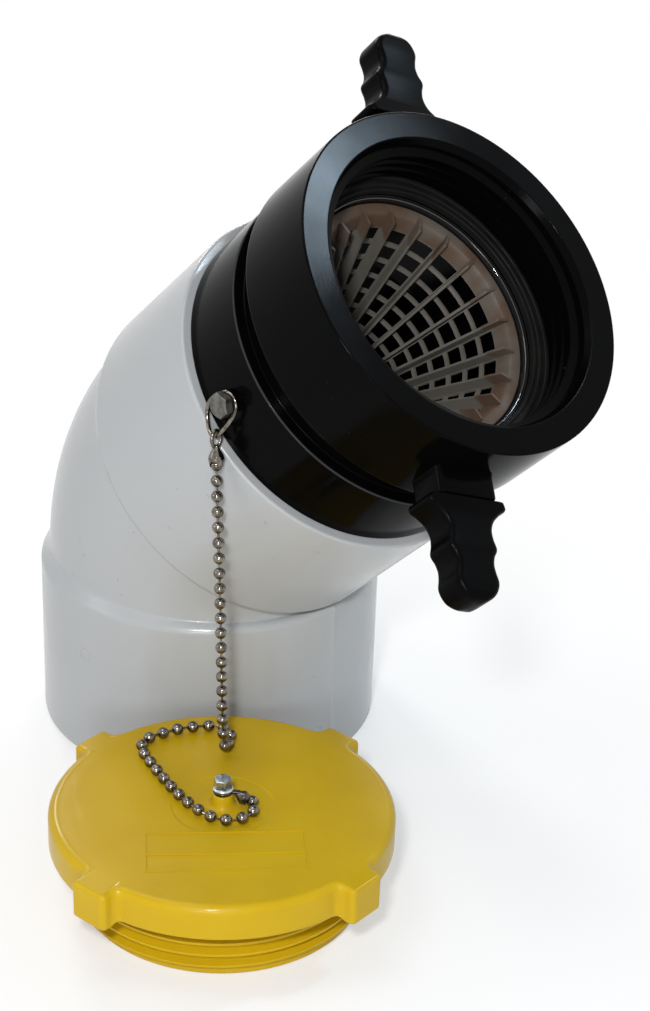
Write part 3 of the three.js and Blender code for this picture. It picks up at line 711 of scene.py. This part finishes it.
def elbow():
    top = HUB_LOW + BEND_R * BEND + HUB_UP
    far = top - HUB_UP
    hub_side, bend_side = 2.6, 3.6  # ends of the slope between a hub and the bend
    profile = [
        (HUB_R, 0, 1.6), (HUB_R, HUB_LOW - hub_side, 5), (BODY_R, HUB_LOW + bend_side, 5),
        (BODY_R, far - bend_side, 5), (HUB_R, far + hub_side, 5), (HUB_R, top, 1.4),
        (SOCKET_MOUTH_R, top, 1.4), (SOCKET_R, top - SOCKET_DEPTH, 0.3),
        (PASSAGE_R, top - SOCKET_DEPTH, 1.5), (PASSAGE_R, SOCKET_DEPTH, 1.5),
        (SOCKET_R, SOCKET_DEPTH, 0.3), (SOCKET_MOUTH_R, 0, 1.4),
    ]
    seam = [(0, 0.22), (0.16, 0.16), (0.34, 0.0)]  # degrees off the mould's parting, and height
    angles = {TURN * k / ELBOW_SIDES: 0.0 for k in range(ELBOW_SIDES) if k % (ELBOW_SIDES // 2)}
    for middle in (0.0, 180.0):
        for off, height in seam:
            for way in (-1, 1):
                angles[math.radians(middle + way * off) % TURN] = height
    order = sorted(angles)
    rows = []
    for radius, along in rounded(profile, longest=4):
        centre, lean = elbow_spine(along)
        tilt = Matrix.Rotation(lean, 3, "Y")
        outside = radius > SOCKET_R + 1.6  # on the wall's outer side
        row = []
        for angle in order:
            r = radius + (angles[angle] if outside else 0)
            row.append(centre + tilt @ Vector((r * math.cos(angle), r * math.sin(angle), 0)))
        rows.append(row)
    return skin(rows)


def moulded_ring(at, out):
    """Faint raised ring left by the mould, on a wall that faces out."""
    radius, height = 3.6, 0.16
    profile = rounded([
        (radius - 0.5, -1.2), (radius - 0.3, height, 0.15), (radius + 0.3, height, 0.15),
        (radius + 0.5, -1.2),
    ])
    turn = Vector(out).to_track_quat("Z", "Y").to_matrix().to_4x4()
    return placed(lathe(profile, 32), Matrix.Translation(at) @ turn)


# ======== tail, swivel, grips
def race(wall, depth, way=1):
    """Half-round groove of the ball race, from wall to depth."""
    w = BALL_R + 0.4
    marks = [-1, -0.92, -0.71, -0.38, 0, 0.38, 0.71, 0.92, 1][::way]
    return [(wall + (depth - wall) * math.sqrt(1 - t * t), RACE_S + w * t) for t in marks]


def tail():
    start = HUB_END - SOCKET_DEPTH + 0.7  # the spigot's end, just off the socket's stop
    collar = HUB_END + SEAT
    profile = [
        (SPIGOT_R, start, 1.2), (SPIGOT_R, collar, 0.2), (COLLAR_R, collar, 0.5),
        (COLLAR_R, COLLAR_END, 0.9), (GROOVE_R, COLLAR_END, 0.8), (GROOVE_R, SHOULDER, 0.4),
        (NOSE_R, SHOULDER, 0.3), *race(NOSE_R, RACE_R - BALL_R - 0.4), (NOSE_R, NOSE_END, 0.9),
        (SEAT_BORE_R, NOSE_END, 0.7), (SEAT_BORE_R, LEDGE_S, 0.2), (LEDGE_R, LEDGE_S, 0.4),
        (LEDGE_R, LEDGE_S - 6, 1.5), (TAIL_BORE_R, HUB_END + 2, 8), (TAIL_BORE_R, start, 0.8),
    ]
    body = lathe(rounded(profile, longest=14))
    hole = placed(drum(4.3, -10.1, 6), outward(TETHER_S, TETHER_ANGLE, COLLAR_R))
    return fused(body, [hole], "DIFFERENCE")


def slab(stations, corner_points=6):
    """Rounded rectangles (distance out, half width, half height, corner) joined along X."""
    rows = []
    for x, w, h, c in stations:
        row = []
        for k, (sy, sz) in enumerate(((1, 1), (-1, 1), (-1, -1), (1, -1))):
            for j in range(corner_points):
                a = math.pi / 2 * (k + j / (corner_points - 1))
                y = sy * (w - c) + c * math.cos(a)
                z = sz * (h - c) + c * math.sin(a)
                row.append(Vector((x, y, z)))
        rows.append(row)
    ends = [[Vector((r[0].x, 0, 0))] for r in (rows[0], rows[-1])]
    return skin([ends[0], *rows, ends[1]], False)


def boss():
    """The ring's block that a grip stands on."""
    return slab([
        (RING_R - 3, 16.5, 11.7, 3), (RING_R - 1.2, 16.2, 11.4, 3), (RING_R + 0.4, 16, 11.25, 3),
        (BOSS_R - 1, 16, 11.25, 3), (BOSS_R - 0.4, 15.8, 11.05, 2.8), (BOSS_R, 15.2, 10.4, 2.3),
    ])


def ring_body():
    pocket = GASKET_TOP + 0.8
    profile = [
        (RING_BORE_R, RING_REAR, 0.3), (RING_R, RING_REAR, 1.1), (RING_R, RING_FRONT, 0.7),
        (MOUTH_R, RING_FRONT, 0.6), (THREAD_R, RING_FRONT - 3.6, 0.5), (THREAD_R, pocket + 1),
        (POCKET_R, pocket), (POCKET_R, NOSE_END + SEAT), (RING_BORE_R, NOSE_END + SEAT),
        *race(RING_BORE_R, RACE_R + BALL_R + 0.9, -1),
    ]
    body = lathe(rounded(profile, longest=14))
    low = GASKET_TOP + 4.5
    turns = (RING_FRONT - 4.6 - low) / PITCH
    joined = [ridge(THREAD_R + THREAD_SUNK, -THREAD_DEPTH - THREAD_SUNK, low, turns, BLACK)]
    joined += [placed(boss(), spun(a, "Z") @ moved(0, 0, GRIP_MID)) for a in GRIP_ANGLES.values()]
    hole = placed(drum(3.6, -12, 3), outward(RACE_S, FILLER_ANGLE, RING_R))
    return fused(fused(body, joined), [hole], "DIFFERENCE")


def tether_screw():
    head = placed(hexagon(11.3, 4.6, 8.8), spun(30, "Z"))
    return fused(drum(4, -9.5, 5, 32, 0.4), [head])


def race_balls():
    bm = bmesh.new()
    first = moved(RACE_R, 0, RACE_S)
    bmesh.ops.create_icosphere(bm, subdivisions=3, radius=BALL_R, matrix=first)
    ball = bpy.data.meshes.new("ball")
    bm.to_mesh(ball)
    return RING.grow(ball, {"Count": BALLS, "Merge Distance": 0.0001}, BALL)


# half widths of a grip against the share of its length from the boss
GRIP_OUTLINE = [
    (0, 21.2), (0.06, 22.2), (0.12, 18.3), (0.2, 14.4), (0.29, 12.6), (0.38, 12.8),
    (0.475, 13.9), (0.55, 11.9), (0.63, 10.9), (0.71, 11.3), (0.8, 12.2), (0.88, 10.8),
    (0.945, 8), (0.985, 4.2),
]


def grip():
    base = BOSS_R + SEAT
    long = GRIP_REACH - base
    tip_share, foot_share, foot_swell = 0.1, 0.16, 0.8
    outline = through([(t * long, w, 0) for t, w in GRIP_OUTLINE], 9)
    stations = [(base, 20, 9.8, 2.2), (base + 0.4, 21, 10.2, 2.8)]
    for p in outline[5:]:
        share = p.x / long
        tip = min(max(1 - share, 0.0) / tip_share, 1)
        height = GRIP_HALF * min(1, math.sqrt(tip * (2 - tip)) * 0.5 + 0.5)
        height += foot_swell * max(0, 1 - share / foot_share)
        stations.append((base + p.x, p.y, height, min(3.3, 0.45 * p.y, 0.45 * height)))
    stations.append((GRIP_REACH - 0.2, 2.2, 4, 1))
    return slab(stations, 9)


def gasket():
    """Flat ring with two shallow grooves in its face."""
    inner, outer, top, edge = 65, 74.4, GASKET_TOP, 0.3
    profile = [(inner, GASKET_S, 0.8), (outer, GASKET_S, 0.4), (outer, top, 0.4)]
    for wide, narrow in ((72.6, 70), (68.6, 66.4)):
        profile += [
            (wide, top, edge), (wide - 0.4, top - 0.5, edge),
            (narrow + 0.4, top - 0.5, edge), (narrow, top, edge),
        ]
    return lathe(rounded([*profile, (inner, top, 0.8)], steps=3, near=0.2))


def hexagon(flats, low, high, bevel=0.94):
    """Hexagon head whose upper corners are turned off in a cone."""
    sides = 48
    flat = flats / 2 * bevel
    foot, side, top = [], [], []
    for k in range(sides):
        a = TURN * k / sides
        reach = flats / 2 / math.cos((a + TURN / 12) % (TURN / 6) - TURN / 12)
        shoulder = high - (reach - flat) * 0.58
        for row, r, z in ((foot, reach, low), (side, reach, shoulder), (top, flat, high)):
            row.append(Vector((r * math.cos(a), r * math.sin(a), z)))
    return skin([[Vector((0, 0, low))], foot, side, top, [Vector((0, 0, high))]], False)


def filler():
    body = drum(3.3, -7.8, -1, 32, 0.4)
    return fused(body, [hexagon(3.2, -3.4, 1, bevel=1)], "DIFFERENCE")


# ======== strainer
def cone(along):
    """Radius of the basket's wall."""
    return CONE_R + CONE_SLOPE * (along - CONE_TOP)


def bay():
    """One of the strainer's bays: half a fin at each side and its windows between."""
    half = math.pi / FINS
    centres = [FIRST_WINDOW - ROW_PITCH * k for k in range(WINDOW_ROWS)]
    edges = sorted(c + way * WINDOW_HALF for c in centres for way in (-1, 1))
    seat = LEDGE_S + SEAT
    rim_r = SEAT_BORE_R - 0.4
    foot_r, deck = cone(BASKET_END), BASKET_END + WALL
    # the wall's outside, its inside and the fin's edge, each as (radius, along)
    levels = [((foot_r, BASKET_END), (foot_r - 1, deck), (13, deck))]
    for s in edges:
        levels.append(((cone(s), s), (cone(s) - WALL, s), (cone(s) - WALL - FIN_HEIGHT, s)))
    levels += [
        ((cone(CONE_TOP), CONE_TOP), (53.9, CONE_TOP + 0.6), (47.4, CONE_TOP + 0.6)),
        ((LEDGE_R - 1.4, seat), (55.6, 188.4), (49.4, 189)),
        ((rim_r - 0.4, seat), (56.4, 190.2), (50.9, 192.6)),
        ((rim_r, seat + 0.4), (57, 191), (51.3, 193.2)),
        ((rim_r, RIM_TOP - 0.5), (57.7, RIM_TOP - 0.4), (57.3, 193.4)),
        ((rim_r - 0.5, RIM_TOP), (61.3, RIM_TOP), (61.3, RIM_TOP)),
    ]
    bm = bmesh.new()
    grid = {}

    def at(kind, level, column):
        """Vertex on the outside, inside or fin's edge of the wall."""
        radius, along = levels[level][("out", "in", "fin").index(kind)]
        fin = FIN_HALF / radius
        window = half - PILLAR_HALF / radius
        angles = [-half, fin - half, -window, -window / 2, 0]
        angle = angles[column] if column < 5 else -angles[8 - column]
        key = (kind, level, column)
        if key not in grid:
            spot = (radius * math.cos(angle), radius * math.sin(angle), along)
            grid[key] = bm.verts.new(spot)
        return grid[key]

    def face(*corners):
        bm.faces.new([at(*c) for c in corners])

    def rung(level, c):
        """Face across the wall's thickness."""
        face(("out", level, c), ("out", level, c + 1), ("in", level, c + 1), ("in", level, c))

    columns = range(8)  # half a fin, a pillar, the window's four, a pillar, half a fin
    glass = range(2, 6)
    last = len(levels) - 1
    for i in range(last):
        is_window = i < 2 * WINDOW_ROWS and i % 2 == 1
        for c in columns:
            if not (is_window and c in glass):
                face(("out", i, c), ("out", i, c + 1), ("out", i + 1, c + 1), ("out", i + 1, c))
                kind = "fin" if c in (0, 7) and i < last - 1 else "in"
                face((kind, i, c), (kind, i + 1, c), (kind, i + 1, c + 1), (kind, i, c + 1))
        for c in (1, 7):
            if i < last - 1:
                face(("in", i, c), ("in", i + 1, c), ("fin", i + 1, c), ("fin", i, c))
        if is_window:
            for c in (2, 6):
                face(("out", i, c), ("out", i + 1, c), ("in", i + 1, c), ("in", i, c))
            for level in (i, i + 1):
                for c in glass:
                    rung(level, c)
    for c in columns:
        rung(last, c)
        if c in (0, 7):
            end = last - 1
            face(("in", end, c), ("in", end, c + 1), ("fin", end, c + 1), ("fin", end, c))
    under = bm.verts.new((0, 0, BASKET_END))
    floor = bm.verts.new((0, 0, deck))
    for c in columns:
        bm.faces.new([at("out", 0, c), at("out", 0, c + 1), under])
        bm.faces.new([at("fin", 0, c), at("fin", 0, c + 1), floor])
        if 1 <= c <= 6:
            face(("in", 0, c), ("in", 0, c + 1), ("fin", 0, c + 1), ("fin", 0, c))
    mesh = bpy.data.meshes.new("bay")
    bm.to_mesh(mesh)
    return mesh


def strainer():
    mesh = RING.grow(bay(), {"Count": FINS, "Merge Distance": 0.02}, BEIGE)
    return placed(as_bmesh(mesh), spun(FIN_PHASE + 180 / FINS, "Z"))


# ======== plug
def plug_outline():
    """Points round the flange, whose wall sweeps out into four lugs."""
    corners = []
    root = math.sqrt(PLUG_R**2 - LUG_HALF**2)
    sweep_out = 10  # of the wall, beside a lug
    edge = math.asin((LUG_HALF + sweep_out) / PLUG_R)
    steps = 36
    for k in range(4):
        start = LUG_PHASE + k * TURN / 4
        turn = Matrix.Rotation(start, 2)
        lug = [(root, -LUG_HALF, 5.2), (LUG_REACH, -LUG_HALF, 2.8)]
        lug += [(x, -y, f) for x, y, f in reversed(lug)]
        corners += [(*(turn @ Vector((x, y))), f) for x, y, f in lug]
        for j in range(steps + 1):
            a = start + edge + (TURN / 4 - 2 * edge) * j / steps
            corners.append((PLUG_R * math.cos(a), PLUG_R * math.sin(a), 0))
    return [Vector(p) for p in rounded(corners, steps=8, near=0.8, longest=2.6)]


def plug_rows():
    outline = plug_outline()
    n = len(outline)
    normals = []
    for i, p in enumerate(outline):
        way = (outline[(i + 1) % n] - outline[i - 1]).normalized()
        normals.append(Vector((way.y, -way.x)))
    lug_share = [min(max((p.length - PLUG_R - 0.2) / 3.6, 0), 1) for p in outline]
    lug_share = [w * w * (3 - 2 * w) for w in lug_share]

    def ring(radius, z, like):
        """Row at one radius, its points in line with those of another row."""
        return [Vector((*(p.xy.normalized() * radius), z)) for p in like]

    def rim(share, side, low=False):
        """Row of an edge: share of its radius in from the wall, and side of it off the face."""
        row = []
        for p, m, w in zip(outline, normals, lug_share):
            radius = 1.2 if low else 4.3 - 2 * w
            z = FLANGE_UNDER - LUG_DROP * w if low else PLUG_TOP - 1.2 * w
            z += radius * side * (1 if low else -1)
            row.append(Vector((*(p - m * radius * share), z)))
        return row

    top = PLUG_TOP
    crown = rounded([
        (2.7, BOSS_TOP, 0.3), (5, BOSS_TOP, 0.9), (6.3, top + 0.5, 3), (12.8, top + 0.35, 0.5),
        (13.6, top - 0.25, 0.5), (24.6, top - 0.25, 0.6), (25.4, top, 0.6), (74, top, 6),
        (79, top - 0.1),
    ], False, longest=16)
    inside = PLUG_CORE - 7.2
    foot = rounded([
        (76, FLANGE_UNDER), (PLUG_CORE, FLANGE_UNDER, 0.8), (PLUG_CORE, 0, 1.2),
        (inside, 0, 0.8), (inside, PLUG_DECK, 2.5), (11, PLUG_DECK, 1.2),
        (11, PLUG_DECK - 5, 0.6), (2.7, PLUG_DECK - 5),
    ], False, longest=12)
    rows = [ring(r, z, rim(1, 0)) for r, z in crown]
    for k in range(8):
        a = math.pi / 2 * k / 7
        rows.append(rim(1 - math.sin(a), 1 - math.cos(a)))
    rows.append(rim(0, 1.1))
    rows.append(rim(0, 1.3, True))
    for k in range(5):
        a = math.pi / 2 * k / 4
        rows.append(rim(1 - math.cos(a), 1 - math.sin(a), True))
    rows.append(rim(1.4, 0, True))
    rows += [ring(r, z, rows[-1]) for r, z in foot]
    return rows


def plug():
    body = skin(plug_rows())
    turns = (FLANGE_UNDER - 8) / PITCH
    thread = ridge(PLUG_CORE - THREAD_SUNK, THREAD_DEPTH + THREAD_SUNK, 4.2, turns, YELLOW)
    turn = Matrix.Rotation(PLUG_ANGLE, 4, "Z")
    frames, panels = [], []
    for low, high in LABEL_FIELDS:
        wide, middle = high - low, (low + high) / 2
        bars = block((wide + 1.6, LABEL_LENGTH + 1.6, 4), (middle, 0, PLUG_TOP - 1.7))
        frames.append(placed(bars, turn))
        panels.append(placed(block((wide, LABEL_LENGTH, 4), (middle, 0, PLUG_TOP + 1.75)), turn))
    return fused(fused(body, [thread, *frames]), panels, "DIFFERENCE")


def plug_screw():
    tip = PLUG_TOP - 18
    flange = lathe(rounded([
        (0, SCREW_SEAT), (5.1, SCREW_SEAT, 0.3), (5.1, SCREW_SEAT + 0.7, 0.3),
        (4.6, SCREW_SEAT + 1.4, 0.3), (0, SCREW_SEAT + 1.5),
    ], False, 3, 0.2), 48, False)
    head = hexagon(8, SCREW_SEAT + 0.5, SCREW_SEAT + 6.2)
    return fused(flange, [head, drum(2.4, tip, SCREW_SEAT + 0.6, 24, 0.4)])


# ======== chain and its ends
LINK_POINTS = [
    (98.2, -88.9, 244.5), (94.6, -88.9, 243.3), (90.6, -89.2, 240.2), (87.3, -89.8, 236.2),
    (86.5, -90.4, 231.6), (88.4, -91.8, 226.9), (91, -93.3, 223.9), (93.6, -94.2, 222.7),
    (96.4, -94.2, 223.1), (98.9, -93.4, 225.7), (102, -91.2, 231.2), (104, -90, 235.8),
    (104.2, -89.3, 239.8), (102, -88.9, 243.3),
]
CHAIN_POINTS = [
    (98, -95.4, 209), (98.9, -95.5, 190), (101.3, -95.8, 150), (103.6, -96.1, 105),
    (105.2, -96.2, 68), (105.7, -95.6, 58), (104.7, -93.2, 53.7), (102.4, -89.3, 52.6),
    (98.7, -83.6, 52.6), (93.2, -79.9, 52.6), (86.6, -80.8, 52.6), (81.3, -86, 52.6),
    (77.1, -91.9, 52.6), (74.2, -97.6, 52.6), (72.2, -103.8, 52.6), (70.5, -110, 52.6),
    (70.3, -116.6, 52.6), (74.4, -122.4, 52.6), (81, -125.9, 52.6), (88, -128.6, 52.6),
    (96.2, -131.7, 52.6), (104.3, -134.4, 52.6), (111.9, -136.8, 52.6), (119.2, -138.7, 52.6),
    (126.8, -140.2, 52.6), (135.1, -140.9, 52.6), (143.4, -140.2, 52.6), (149.4, -137, 52.6),
    (152.8, -131.4, 52.6), (153.2, -125.6, 52.6), (151.8, -121, 52.6), (149.3, -118.5, 52.6),
    (147, -117.7, 53),
]
BALL_OF_CHAIN = 3
PIN_OF_CHAIN = 0.6
CHAIN_PITCH = 7.9


def chain():
    """The chain's mesh, and its path in metres."""
    points = through(CHAIN_POINTS, 8)
    curve = bpy.data.curves.new("route", "CURVE")
    curve.dimensions = "3D"
    line = curve.splines.new("POLY")
    line.points.add(len(points) - 1)
    for spot, p in zip(line.points, points):
        spot.co = (*p, 1)
    sizes = {"Pitch": CHAIN_PITCH, "Ball Radius": BALL_OF_CHAIN, "Pin Radius": PIN_OF_CHAIN}
    return CHAIN.grow(curve, sizes, NICKEL), [UPRIGHT @ p for p in points]


def bell(mouth, neck, long, slot=0.0):
    """Cup that closes round the chain's last ball, with a slot that shows the ball."""
    profile = [
        (0, mouth * 0.74), (mouth * 0.6, mouth * 0.5, 1), (mouth - 0.75, 0, 0.2),
        (mouth - 0.3, 0, 0.2), (mouth + 0.45, long * 0.38, 0.6), (mouth, long * 0.52, 1),
        (neck, long * 0.85, 1), (neck * 0.75, long, 0.5), (0, long),
    ]
    cup = lathe(rounded(profile, False, 4, 0.15), 32, False)
    if slot:
        place = moved(0, 0, mouth * 0.3) @ spun(90, "X") @ spun(20, "Y")
        cup = fused(cup, [placed(drum(slot, -9, 9, 24), place)], "DIFFERENCE")
    return cup


def top_coupling():
    radius, stretch, sides = 2.9, 1.4, 24
    angles = [TURN * k / sides for k in range(sides)]
    path = [Vector((0, radius * math.cos(a), stretch * radius * math.sin(a))) for a in angles]
    eye = placed(wire_loop(path, 0.9), moved(0, 0, 13.6))
    return fused(bell(3.55, 1.6, 10.6, 2.2), [eye])


def low_coupling():
    eye = lathe(rounded([
        (2.7, EYE_Z, 0.2), (4.8, EYE_Z, 0.4), (4.8, EYE_Z + 1.6, 0.4), (2.7, EYE_Z + 1.6, 0.2),
    ], True, 3, 0.15), 32)
    arm = slab([(4.2, 1.3, 0.75, 0.3), (8.4, 1.3, 0.75, 0.3)])
    cup = placed(bell(3.1, 1.5, 6.8), moved(12, 0, EYE_Z - 2.9) @ spun(-60, "Y"))
    return fused(eye, [placed(arm, moved(0, 0, EYE_Z + 0.8)), cup])


# ======== making the pieces
route_mesh, route = chain()
chain_piece = piece("chain_balls", route_mesh, UPRIGHT, NICKEL, "head", ["chain"])
link = piece("tether_wire", wire_loop(through(LINK_POINTS, 5, True), 1.0), UPRIGHT, NICKEL,
             "head", ["tether_link"])
hung = UPRIGHT @ moved(98, -95.4, 208.4) @ spun(-4, "X") @ spun(-6, "Y")
upper_end = piece("coupling_upper", top_coupling(), hung, NICKEL,
                  "head", ["chain_coupling_upper"])
lower_end = piece("coupling_lower", low_coupling(), PLUG_PLACE @ spun(35, "Z"), DARK,
                  "head", ["chain_coupling_plug"])

marks = [moulded_ring((46.1, -78.8, 185.1), (0.37, -0.85, 0.37)),
         moulded_ring((-1.3, -91.3, 61.8), (0, -1, 0))]
piece("elbow_body", fused(elbow(), marks), UPRIGHT, WHITE, "head", ["elbow"], 40)
piece("tail_body", tail(), OUTLET, BLACK_BARE, "head", ["adapter_tail"])
piece("tether_screw_head", tether_screw(), OUTLET @ outward(TETHER_S, TETHER_ANGLE, COLLAR_R),
      DULL_ZINC, "head", ["tether_screw"])
piece("race_balls", race_balls(), OUTLET @ spun(180 / BALLS, "Z"), BALL,
      "head", [f"race_ball_{k + 1:02d}" for k in range(BALLS)], 60)

piece("ring_body", ring_body(), OUTLET, BLACK, "swivel", ["swivel_ring"])
for side, angle in GRIP_ANGLES.items():
    piece(f"grip_{side}_body", grip(), OUTLET @ spun(angle, "Z") @ moved(0, 0, GRIP_MID),
          BLACK_SATIN, "swivel", [f"grip_{side}"], 50)
piece("gasket_rings", gasket(), OUTLET, RUBBER, "swivel", ["swivel_gasket"])
piece("filler_screw", filler(), OUTLET @ outward(RACE_S, FILLER_ANGLE, RING_R), ZINC,
      "swivel", ["race_filler_screw"])

piece("strainer_basket", strainer(), OUTLET, BEIGE, "strainer", ["basket_strainer"])

piece("plug_cap", plug(), PLUG_PLACE, YELLOW, "plug", ["plug"])
piece("plug_screw_head", plug_screw(), PLUG_PLACE, ZINC, "plug", ["plug_screw"])
nut = fused(hexagon(8, PLUG_TOP - 15.3, PLUG_TOP - 11.3), [drum(2.7, 0, 60, 24)], "DIFFERENCE")
piece("plug_nut_hex", nut, PLUG_PLACE, ZINC, "plug", ["plug_nut"])


# ======== floor and light
FLOOR_R = 9
FLOOR_Z = -0.0003
SKY_LIGHT = 0.2  # share of the white sky that lights the object


def floor():
    """Pale floor that keeps the shadow near the object and turns plain white farther off."""
    mesh = bpy.data.meshes.new("floor")
    bm = bmesh.new()
    low = moved(0, 0, FLOOR_Z)
    bmesh.ops.create_circle(bm, cap_ends=True, segments=96, radius=FLOOR_R, matrix=low)
    bm.to_mesh(mesh)
    ground = bpy.data.objects.new("floor", mesh)
    bpy.context.scene.collection.objects.link(ground)
    f = Finish("pale_floor", Roughness=0.9, Specular_IOR_Level=0.1)
    f.shader.inputs["Base Color"].default_value = (0.9, 0.9, 0.9, 1)
    share = f.op("MULTIPLY", f.band(f.length(f.at), 0.1, 0.42, 0.4, 1.0), seen_rays(f.tree))
    white = f.add("ShaderNodeEmission").outputs[0]
    mixed = f.add("ShaderNodeMixShader", {0: share, 1: f.shader.outputs[0], 2: white}).outputs[0]
    f.tree.links.new(mixed, f.tree.nodes["Material Output"].inputs["Surface"])
    mesh.materials.append(f.material)


def seen_rays(tree):
    """1 for rays that show a thing itself or its reflection, 0 for rays that only light."""
    rays = tree.nodes.new("ShaderNodeLightPath").outputs
    total = rays["Is Camera Ray"]
    for label in ("Is Glossy Ray", "Is Transmission Ray"):
        larger = add_node(tree, "ShaderNodeMath", {0: total, 1: rays[label]}, operation="MAXIMUM")
        total = larger.outputs[0]
    return total


def lamp(name, place, aim, size, watts, colour=(1, 1, 1)):
    data = bpy.data.lights.new(name, "AREA")
    data.shape = "RECTANGLE"
    data.size, data.size_y = size
    data.energy = watts
    data.color = colour
    light = bpy.data.objects.new(name, data)
    light.location = place
    light.rotation_euler = (Vector(aim) - Vector(place)).to_track_quat("-Z", "Y").to_euler()
    bpy.context.scene.collection.objects.link(light)


def sky():
    world = bpy.data.worlds.new("studio")
    bpy.context.scene.world = world
    world.use_nodes = True
    tree = world.node_tree
    sockets = {"Value": seen_rays(tree), "To Min": SKY_LIGHT, "To Max": 1.0}
    level = add_node(tree, "ShaderNodeMapRange", sockets).outputs[0]
    tree.links.new(level, tree.nodes["Background"].inputs["Strength"])
    tree.nodes["Background"].inputs["Color"].default_value = (1, 1, 1, 1)


floor()
sky()
centre = Vector((0, 0, 0.15))
beyond = centre + Vector((AHEAD.x, AHEAD.y, 0)).normalized() * 1.2
lamp("flash", EYE - RIGHT * 0.1 + UP * 0.14, centre, (0.1, 0.1), 8.7)
lamp("front", EYE - UP * 0.4 - RIGHT * 0.15, PLUG_PLACE.translation, (0.35, 0.35), 3.6)
lamp("window", centre - RIGHT * 1.1 + Vector((0, 0, 0.35)) - AHEAD * 0.25, centre, (0.3, 0.3), 1.2)
lamp("sheen", (0.442, 0.84, 1.112), (0.037, 0.02, 0.346), (0.12, 0.12), 4.1, (0.66, 0.84, 1))
lamp("behind", centre + Vector((-0.795, 0.336, 0.504)) * 1.2, centre, (0.25, 0.25), 4)
lamp("back", beyond + Vector((0, 0, 0.45)), centre, (0.5, 0.5), 6)
lamp("overhead", centre - RIGHT * 0.35 + Vector((0, 0, 1.15)), centre, (0.5, 0.5), 2.6)

bpy.context.scene.view_settings.view_transform = "Standard"
